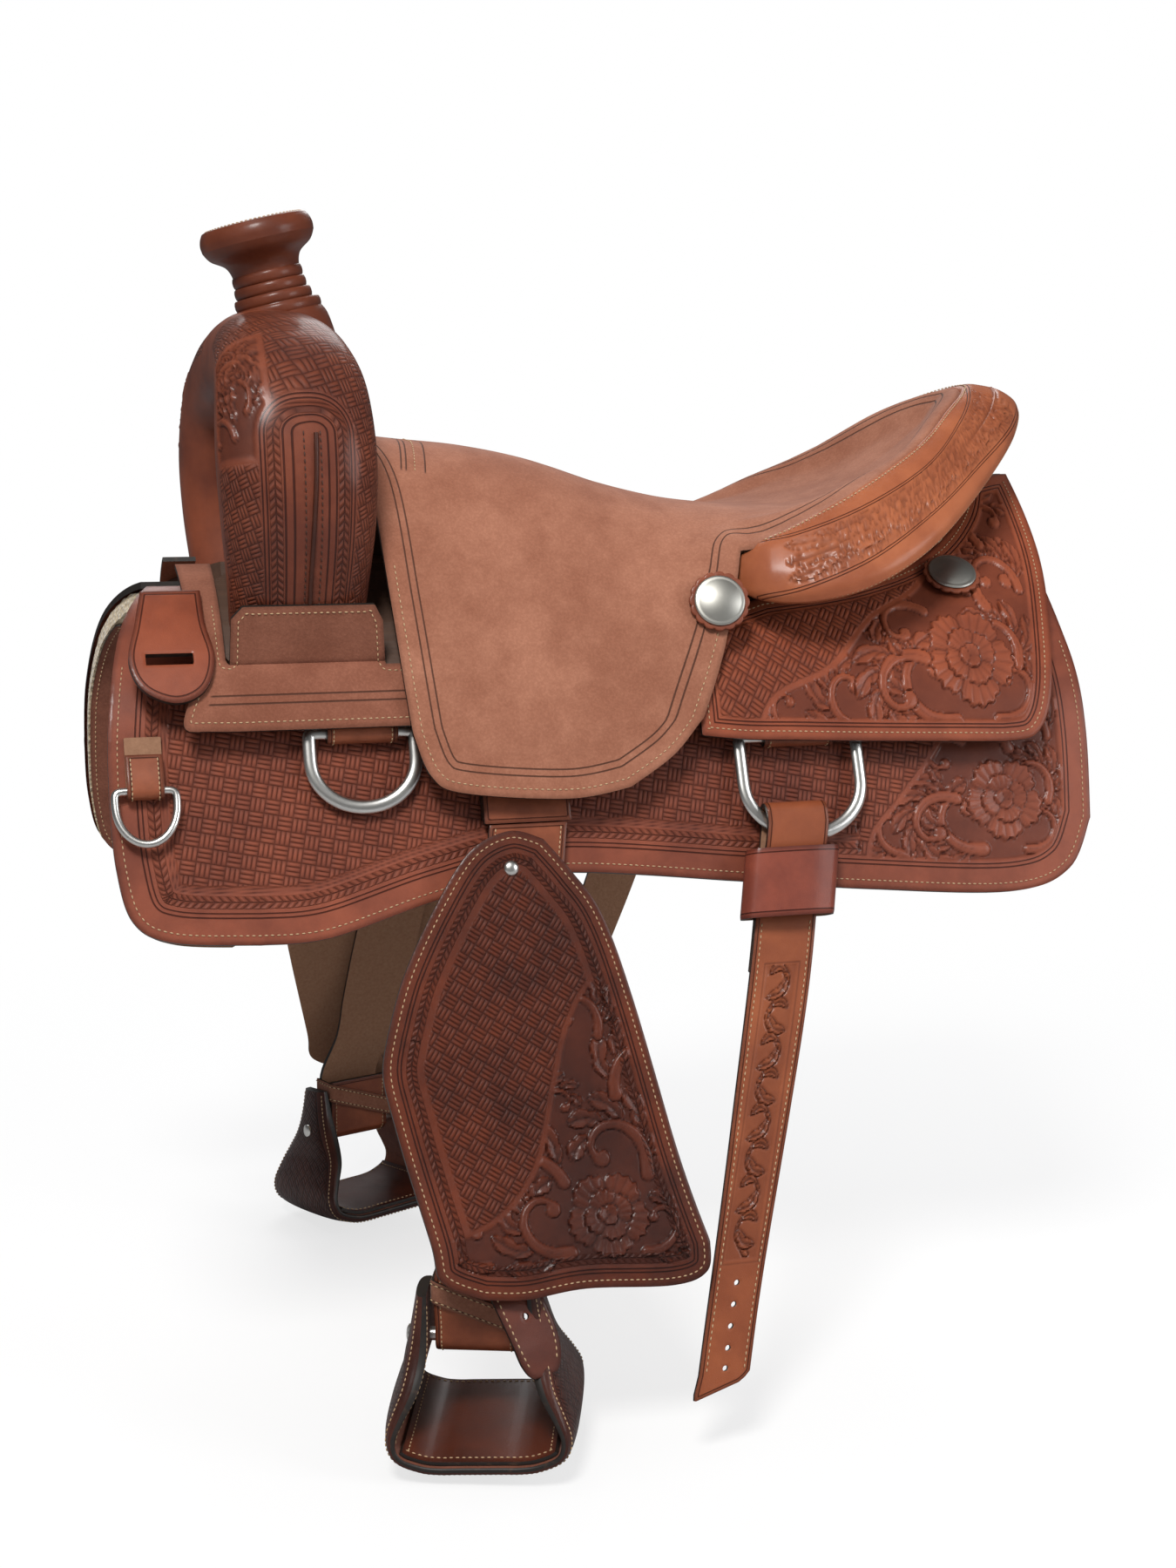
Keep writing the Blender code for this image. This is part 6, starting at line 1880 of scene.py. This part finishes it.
for word, side in SIDES:
    hanger, leaf = f"leather_hanger_{word}", f"fender_leaf_{word}"
    top = cut_leather(
        f"leather_top_{word}", TOP_OUTLINE, squares(-0.1206, -0.0594, 0.0598, 0.2362, 0.0020),
        over_bar, STRAP_THICK, side, STRAP_FINISHES,
    )
    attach(top, "saddle")
    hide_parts(f"stirrup_leather_top_{word}")
    pivot = cut_leather(
        f"leather_hinge_{word}", PIVOT_OUTLINE, squares(-0.1206, -0.0594, 0.1843, 0.2397, 0.0014),
        PIVOT_UNDER, STRAP_THICK, side, STRAP_FINISHES,
    )
    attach(pivot, hanger)
    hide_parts(f"leather_pivot_{word}")
    strap = plain_strap(
        f"hanging_leather_{word}", HANGING, LEATHER_HALF, STRAP_THICK, STRAP_FINISHES, leaf, side, 0.0014
    )
    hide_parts(f"stirrup_leather_{word}")
    fender = cut_leather(
        f"tooled_fender_{word}", FENDER_OUTLINE, squares(-0.2045, 0.0095, 0.2450, 0.5570, 0.00115),
        fender_height, FENDER_THICK, side, layers(FENDER_FINISH), fender_tooling,
    )
    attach(fender, leaf)
    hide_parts(f"fender_{word}")
    rows = inset_rows(
        FENDER_OUTLINE, 0.0048, lambda x, s: s > 0, lay,
        lambda x, s: fender_height(x, s) + FENDER_THICK + THREAD_UP, side,
    )
    sewn = stitching(f"fender_stitches_{word}", rows, leaf, TAN_THREAD)
    rivet_base = sided(lay(-0.106, 0.271, FENDER_UNDER + FENDER_THICK), side)
    rivet = turned(f"fender_rivet_{word}", RIVET_DOME, rivet_base, Vector(sided(SIDE_OUT, side)), STEEL, 32)
    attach(rivet, leaf)
    corners = [(wide * HOBBLE_WIDE, deep * HOBBLE_DEEP) for wide, deep in HOBBLE_CORNERS]
    ring = []
    for (w0, d0), (w1, d1) in zip(corners, corners[1:] + corners[:1]):
        for t in (0.06, 0.12, 0.3, 0.5, 0.7, 0.88, 0.94):
            ring.append((w0 + (w1 - w0) * t, d0 + (d1 - d0) * t))
    ring = curve_through(ring + ring[:1], 4)[:-1]
    lift = HOBBLE_UP - HOBBLE_SLANT * ring[:, 0] / LEATHER_HALF
    loop = BOLT_CENTRE + ring[:, :1] * BOLT_ALONG + (ring[:, 1:] - 0.0004) * BOLT_DEEP + lift[:, None] * UP
    hobble = closed_band(
        f"hobble_band_{word}", loop, UP, 0.0078, 0.0021, layers(HOBBLE_SUEDE), leaf, side,
        0.0022,
    )
    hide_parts(f"hobble_strap_{word}")


# Stirrups
# Bent wood covered in leather: dark stamped hide outside, sewn at both rims,
# rough-out hide inside the legs, and a smooth pad on the tread. A steel bolt
# goes through the neck, and the stirrup swings on it.

# Across, up, half depth and thickness, from the neck to the middle of the tread.
STIRRUP_BAND = (
    (0.0334, 0.0360, 0.0150, 0.0080),
    (0.0338, 0.0140, 0.0200, 0.0125),
    (0.0350, -0.0060, 0.0290, 0.0160),
    (0.0400, -0.0220, 0.0400, 0.0150),
    (0.0490, -0.0370, 0.0480, 0.0120),
    (0.0545, -0.0490, 0.0530, 0.0100),
    (0.0515, -0.0590, 0.0550, 0.0095),
    (0.0380, -0.0650, 0.0550, 0.0100),
    (0.0270, -0.0665, 0.0550, 0.0100),
    (0.0160, -0.0665, 0.0550, 0.0100),
    (0.0000, -0.0665, 0.0550, 0.0100),
)
rise_way = UP * math.cos(STIRRUP_TILT) + BOLT_DEEP * math.sin(STIRRUP_TILT)
DEEP_WAY = BOLT_DEEP * math.cos(STIRRUP_TILT) - UP * math.sin(STIRRUP_TILT)
WIDE_WAY = BOLT_ALONG * math.cos(STIRRUP_ROLL) + rise_way * math.sin(STIRRUP_ROLL)
RISE_WAY = rise_way * math.cos(STIRRUP_ROLL) - BOLT_ALONG * math.sin(STIRRUP_ROLL)
STIRRUP_OFFSET, BAND_STEP = 0.0030, 0.0020


def stirrup_band():
    half = np.array(STIRRUP_BAND) * (-1, 1, 1, 1)
    whole = np.vstack([half, half[:-1][::-1] * (-1, 1, 1, 1)])
    line = evenly(curve_through(whole, 10), BAND_STEP)
    along = unit(np.gradient(line[:, :2], axis=0))
    return line, np.stack([along[:, 1], -along[:, 0]], 1)


BAND, BAND_OUT = stirrup_band()


def in_stirrup(wide, rise, deep):
    wide, rise, deep = (v[..., None] for v in np.broadcast_arrays(wide, rise, deep))
    return BOLT_CENTRE + (wide + STIRRUP_OFFSET) * WIDE_WAY + rise * RISE_WAY + deep * DEEP_WAY


STIRRUP_SHELL = (
    (-1.0, 0.30), (-0.985, 0.50), (-0.86, 0.74), (-0.55, 0.93), (0.0, 1.0),
    (0.55, 0.93), (0.86, 0.74), (0.985, 0.50), (1.0, 0.30),
)


def make_stirrup(word, side):
    """The covered wood as a closed shell: outer hide round to the rims, lining inside."""
    outer = curve_through(STIRRUP_SHELL, 6)
    lining = [(a, 0.035 * (1 - a * a)) for a in np.linspace(0.985, -0.985, 24)]
    ring = np.vstack([outer, [(1.008, 0.20), (1.004, 0.08)], lining, [(-1.004, 0.08), (-1.008, 0.20)]])
    kinds = np.concatenate([np.zeros(len(outer) - 1), np.ones(3), np.full(len(lining) - 1, 2), np.ones(3)])
    depth, lift = ring[:, 0], ring[:, 1]
    wide = BAND[:, :1] + BAND_OUT[:, :1] * lift[None, :] * BAND[:, 3:4]
    rise = BAND[:, 1:2] + BAND_OUT[:, 1:2] * lift[None, :] * BAND[:, 3:4]
    deep = depth[None, :] * BAND[:, 2:3]
    points = in_stirrup(wide, rise, deep)
    index, quads = round_faces(*wide.shape)
    which = np.tile(kinds, len(BAND) - 1)
    ends = [list(index[0]), list(index[-1][::-1])]
    faces = quads.tolist() + ends
    a, b, c = points.reshape(-1, 3)[quads[len(outer) // 2][:3]]
    outward = np.cross(b - a, c - a) @ (BAND_OUT[0, 0] * WIDE_WAY + BAND_OUT[0, 1] * RISE_WAY)
    if (outward < 0) != (side < 0):
        faces = [face[::-1] for face in faces]
    points = sided(points.reshape(-1, 3), side)
    which = np.concatenate([which, [1, 1]])
    made = finished(f"stirrup_hide_{word}", points, faces, STIRRUP_FINISHES, which, 50)
    run = np.repeat(np.arange(len(BAND))[:, None] * BAND_STEP, len(ring), 1)
    inset = (1 - np.abs(depth))[None, :] * BAND[:, 2:3]
    hold(made, "flat", run, deep)
    hold(made, "rim", run, inset)
    hold(made, "tool", (inset > 0.0075) * (lift[None, :] > 0.3) * 1.0, 0.0)
    return made


STIRRUP_HIDE = tooled_finish(
    "stirrup_hide", (0.105, 0.026, 0.014), (0.040, 0.011, 0.008), gloss=0.34, weave=0.0080, turn=35.0,
    creases=((0.0066, 0.0006),), edge_dark=0.35,
)
STIRRUP_LINING = suede_finish("stirrup_lining", (0.300, 0.115, 0.072), (0.190, 0.068, 0.042), edge_dark=0.2)
STIRRUP_FINISHES = [STIRRUP_HIDE, CUT_EDGE, STIRRUP_LINING]
TREAD_LEATHER = tooled_finish(
    "tread_leather", (0.120, 0.024, 0.009), (0.055, 0.012, 0.006), gloss=0.24, edge_dark=0.4
)
TREAD_HALF, TREAD_THICK, TREAD_SEWN_AT = 0.0520, 0.0030, 0.0017
BOLT_END = ((0.0040, 0.0475), (0.0058, 0.0465), (0.0062, 0.0450), (0.0046, 0.0446))
BOLT_PROFILE = [(0, -0.0478)] + [(r, -h) for r, h in BOLT_END] + list(BOLT_END[::-1]) + [(0, 0.0478)]
for word, side in SIDES:
    body = f"stirrup_set_{word}"
    stirrup = make_stirrup(word, side)
    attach(stirrup, body)
    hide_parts(f"stirrup_{word}")
    rows = []
    for hand in (-1, 1):
        line, line_out = BAND[2:-2], BAND_OUT[2:-2]
        raised = 0.665 * line[:, 3] + THREAD_UP
        spots = (line[:, 0] + line_out[:, 0] * raised, line[:, 1] + line_out[:, 1] * raised)
        rows.append(sided(in_stirrup(*spots, 0.925 * hand * line[:, 2]), side))
        pick = (BAND[:, 1] > -0.050) & (BAND[:, 1] < 0.030)
        for leg in (BAND[:, 0] < 0, BAND[:, 0] > 0):
            line, line_out = BAND[pick & leg], BAND_OUT[pick & leg]
            spots = (line[:, 0] - line_out[:, 0] * 0.0001, line[:, 1] - line_out[:, 1] * 0.0001)
            rows.append(sided(in_stirrup(*spots, 0.93 * hand * line[:, 2]), side))
    sewn = stitching(f"stirrup_stitches_{word}", rows, body, TAN_THREAD, 0.0034, 0.0027, 0.0009)
    take = BAND[:, 1] < -0.0560
    tread_wide = BAND[take, 0] - BAND_OUT[take, 0] * 0.0021
    tread_rise = BAND[take, 1] - BAND_OUT[take, 1] * 0.0021
    middle = in_stirrup(tread_wide, tread_rise, np.zeros(take.sum()))
    outs = -(BAND_OUT[take, :1] * WIDE_WAY + BAND_OUT[take, 1:] * RISE_WAY)
    tread_frames = strap_frames(middle, DEEP_WAY, outs)
    tread = plain_strap(
        f"tread_pad_{word}", tread_frames, TREAD_HALF, TREAD_THICK, layers(TREAD_LEATHER), body, side,
        0.0020, rows=False,
    )
    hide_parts(f"stirrup_tread_{word}")
    place = on_strap(tread_frames)
    length = tread_frames[0][-1]
    v, u = np.arange(ROW_END, length - ROW_END, ROW_STEP), np.arange(-0.047, 0.047, ROW_STEP)
    rows = [sided(place(edge, v, TREAD_SEWN_AT), side) for edge in (-0.0478, 0.0478)]
    rows += [sided(place(u, end, TREAD_SEWN_AT), side) for end in (0.0045, length - 0.0045)]
    sewn = stitching(f"tread_stitches_{word}", rows, body, TAN_THREAD)
    centre = sided(BOLT_CENTRE, side)
    axis = Vector(sided(BOLT_ALONG, side))
    bolt = turned(f"stirrup_bolt_rod_{word}", BOLT_PROFILE, centre, axis, STEEL, 24)
    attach(bolt, body)
    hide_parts(f"stirrup_bolt_{word}")


# Conchos and rosettes
# Round domed silver discs, screwed through scalloped leather rosettes, at
# the rear corner of each seat flap and behind the cantle.

ROSETTE = tooled_finish("rosette_leather", (0.270, 0.070, 0.030), (0.130, 0.032, 0.017), edge_dark=0.0)
SILVER = steel_finish("silver", (0.50, 0.49, 0.45), 0.34)


def disc_place(surface, x, s, height, side):
    step = 0.004
    here = surface(x, s, height)
    along = surface(x + step, s, height) - surface(x - step, s, height)
    across = surface(x, s + step, height) - surface(x, s - step, height)
    normal = np.cross(along, across)
    return sided(here, side), sided(normal / np.linalg.norm(normal), side)


RIM_PROFILE = (
    (0, 0), (0.0176, 0.0), (0.0181, 0.0006), (0.0178, 0.0013), (0.0166, 0.0017), (0.0156, 0.0017),
    (0.0150, 0.0019),
)
DOME_RADII = (0.0142, 0.0130, 0.0115, 0.0100, 0.0085, 0.0070, 0.0056, 0.0042, 0.0028, 0.0014, 0)
DISC_DOME = list(RIM_PROFILE) + [(r, 0.0020 + 0.0030 * (1 - (r / 0.0148) ** 2)) for r in DOME_RADII]
ROSETTE_RINGS = (
    (0.02, 0.0024), (0.80, 0.0024), (0.84, 0.0021), (0.88, 0.0024), (0.97, 0.0023), (1.0, 0.0018),
    (1.0, 0.0004), (0.98, 0.0),
)
ROSETTE_POINTS, SCALLOPS = 128, 8
angles = np.linspace(0, 2 * math.pi, ROSETTE_POINTS, endpoint=False)
scallop = 0.0216 - 0.0014 * (1 - np.abs(np.sin(angles * SCALLOPS))) ** 1.5
for word, side in SIDES:
    for label, surface, x, s, height in (
        ("seat", on_seat, 0.056, 0.1405, SEAT_THICK + 0.0022),
        ("rear", lay, 0.256, 0.080, JOCKEY_TOP + 0.0024),
    ):
        spot, normal = disc_place(surface, x, s, height, side)
        turn = np.array(Vector((0, 0, 1)).rotation_difference(Vector(normal)).to_matrix())
        rings = []
        for share, h in ROSETTE_RINGS:
            around = (scallop * np.cos(angles) * share, scallop * np.sin(angles) * share)
            rings.append(np.column_stack([*around, np.full(ROSETTE_POINTS, h)]))
        points = np.vstack(rings) @ turn.T + spot
        index, quads = round_faces(len(rings), ROSETTE_POINTS)
        faces = quads.tolist() + [list(index[0]), list(index[-1][::-1])]
        rosette = finished(f"{label}_rosette_leather_{word}", points, faces, [ROSETTE], sharp=60)
        hold(rosette, "rim", np.zeros(len(points)), 0.05)
        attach(rosette, "saddle")
        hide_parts(f"{label}_rosette_{word}")
        concho = turned(
            f"{label}_silver_{word}", DISC_DOME, spot + normal * 0.0026, Vector(normal), SILVER, 96, 55
        )
        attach(concho, "saddle")
        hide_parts(f"{label}_concho_{word}")


# Front fittings
# On the near front a thick rounded keeper with a slot takes the spare end of the
# latigo. Small tabs sewn to the skirt's front lobes carry the breast dees.

KEEPER_OUTLINE = curve_through([
    (-0.300, 0.080), (-0.300, 0.106), (-0.296, 0.130), (-0.304, 0.149), (-0.323, 0.156),
    (-0.344, 0.148), (-0.352, 0.130), (-0.346, 0.106), (-0.340, 0.080),
])
SLOT_OUTLINE = np.array([(-0.341, 0.1265), (-0.310, 0.1265), (-0.310, 0.1335), (-0.341, 0.1335)])
LATIGO_LEATHER = tooled_finish(
    "latigo_keeper_leather", (0.300, 0.070, 0.028), (0.180, 0.038, 0.016), gloss=0.38,
    creases=((0.0035, 0.0006),), edge_dark=0.75,
)
latigo_keeper = cut_leather(
    "latigo_keeper_leather", KEEPER_OUTLINE, squares(-0.3525, -0.2950, 0.0795, 0.1565, 0.0010),
    JOCKEY_TOP + 0.0006, 0.0048, -1, layers(LATIGO_LEATHER), holes=[SLOT_OUTLINE],
)
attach(latigo_keeper, "saddle")
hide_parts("latigo_keeper")
TAB_RADIUS = 0.0042
for word, side in SIDES:
    x, s, h = BREAST_SPOT
    line = [(0.182, 0.0108), (0.196, 0.0148)]
    for a in np.linspace(math.pi / 2, -math.pi / 2, 6):
        line.append((s + TAB_RADIUS * math.cos(a) * 1.2, h + TAB_RADIUS * math.sin(a)))
    line += [(0.196, 0.0073), (0.170, 0.0073)]
    tab = plain_strap(
        f"breast_tab_leather_{word}", pattern_path(line, x), 0.012, 0.0022, STRAP_FINISHES, "saddle", side,
        0.0010, stitch=0.0032,
    )
    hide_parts(f"breast_tab_{word}")


# Loose end and front facings
# The spare end of the stirrup leather, with one hole, lies over the stirrup's
# rear leg. Under the skirt's front a strip of rough-out leather is sewn over
# the wool.

TAIL_LINE = (
    (0.010, 0.066, 0.0105), (0.018, 0.050, 0.0115), (0.030, 0.030, 0.0190), (0.041, 0.008, 0.0250),
    (0.048, -0.014, 0.0300),
)


def tail_frames():
    """From behind the fender's hem, out over the stirrup's neck and down its rear leg."""
    spots = []
    for wide, above, deep in TAIL_LINE:
        spots.append(BOLT_CENTRE + BOLT_ALONG * wide + UP * above + BOLT_DEEP * deep)
    points = curve_through(spots, 8)
    along = unit(np.gradient(points, axis=0))
    side_way = unit(np.cross(along, BOLT_DEEP * 0.80 + BOLT_ALONG * 0.60))
    return strap_frames(points, side_way, np.cross(side_way, along))


TAIL = tail_frames()
TAIL_LENGTH, TAIL_HALF = TAIL[0][-1], 0.0165
TAIL_TIP = TAIL_LENGTH * 0.70
tail_tip = [(TAIL_HALF, TAIL_TIP), (0.0150, TAIL_LENGTH * 0.88), (0.0080, TAIL_LENGTH)]
TAIL_OUTLINE = np.vstack([
    [(-TAIL_HALF, 0.0), (TAIL_HALF, 0.0)],
    curve_through(tail_tip + [(-wide, along) for wide, along in tail_tip[::-1]], 5),
])
TAIL_LEATHER = tooled_finish(
    "loose_end_leather", (0.150, 0.036, 0.019), (0.075, 0.019, 0.012), gloss=0.36, edge_dark=0.5
)
FACING = suede_finish("facing_suede", (0.330, 0.130, 0.085), (0.220, 0.080, 0.052), edge_dark=0.3)
facing_edge = np.vstack([SKIRT_FRONT[8:-1], SKIRT_LOBE[:-4]]) + np.array([0.0035, 0.0])
FACING_OUTLINE = np.vstack([facing_edge, (facing_edge * (0.86, 0.955) + np.array([0.0, -0.010]))[::-1]])
for word, side in SIDES:
    plain_strap(
        f"loose_end_{word}", TAIL, TAIL_HALF, 0.0030, layers(TAIL_LEATHER), f"fender_leaf_{word}", side,
        0.0012, TAIL_OUTLINE, [round_hole(0.0022, TAIL_LENGTH * 0.56)], rows=False,
    )
    place = on_strap(TAIL)
    v = np.linspace(0.004, TAIL_LENGTH - 0.010, 60)
    narrowed = 0.006 * ((v - TAIL_TIP) / (TAIL_LENGTH * 0.30)) ** 2
    half = np.where(v > TAIL_TIP, TAIL_HALF - narrowed, TAIL_HALF) - 0.0032
    rows = [sided(place(hand * half, v, 0.0017), side) for hand in (-1, 1)]
    sewn = stitching(
        f"loose_end_stitches_{word}", rows, f"fender_leaf_{word}", TAN_THREAD, 0.0044, 0.0031, 0.00115
    )
    facing = cut_leather(
        f"front_facing_{word}", FACING_OUTLINE, squares(-0.368, -0.230, 0.020, 0.312, 0.0020),
        -WOOL - 0.0024, 0.0016, side, [LEATHER_BACK, CUT_EDGE, FACING],
    )
    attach(facing, "saddle")
    rows = inset_rows(FACING_OUTLINE, 0.0040, lambda x, s: s > 0.05, lay, -WOOL - 0.0026, side)
    sewn = stitching(f"front_facing_stitches_{word}", rows, "saddle", TAN_THREAD)
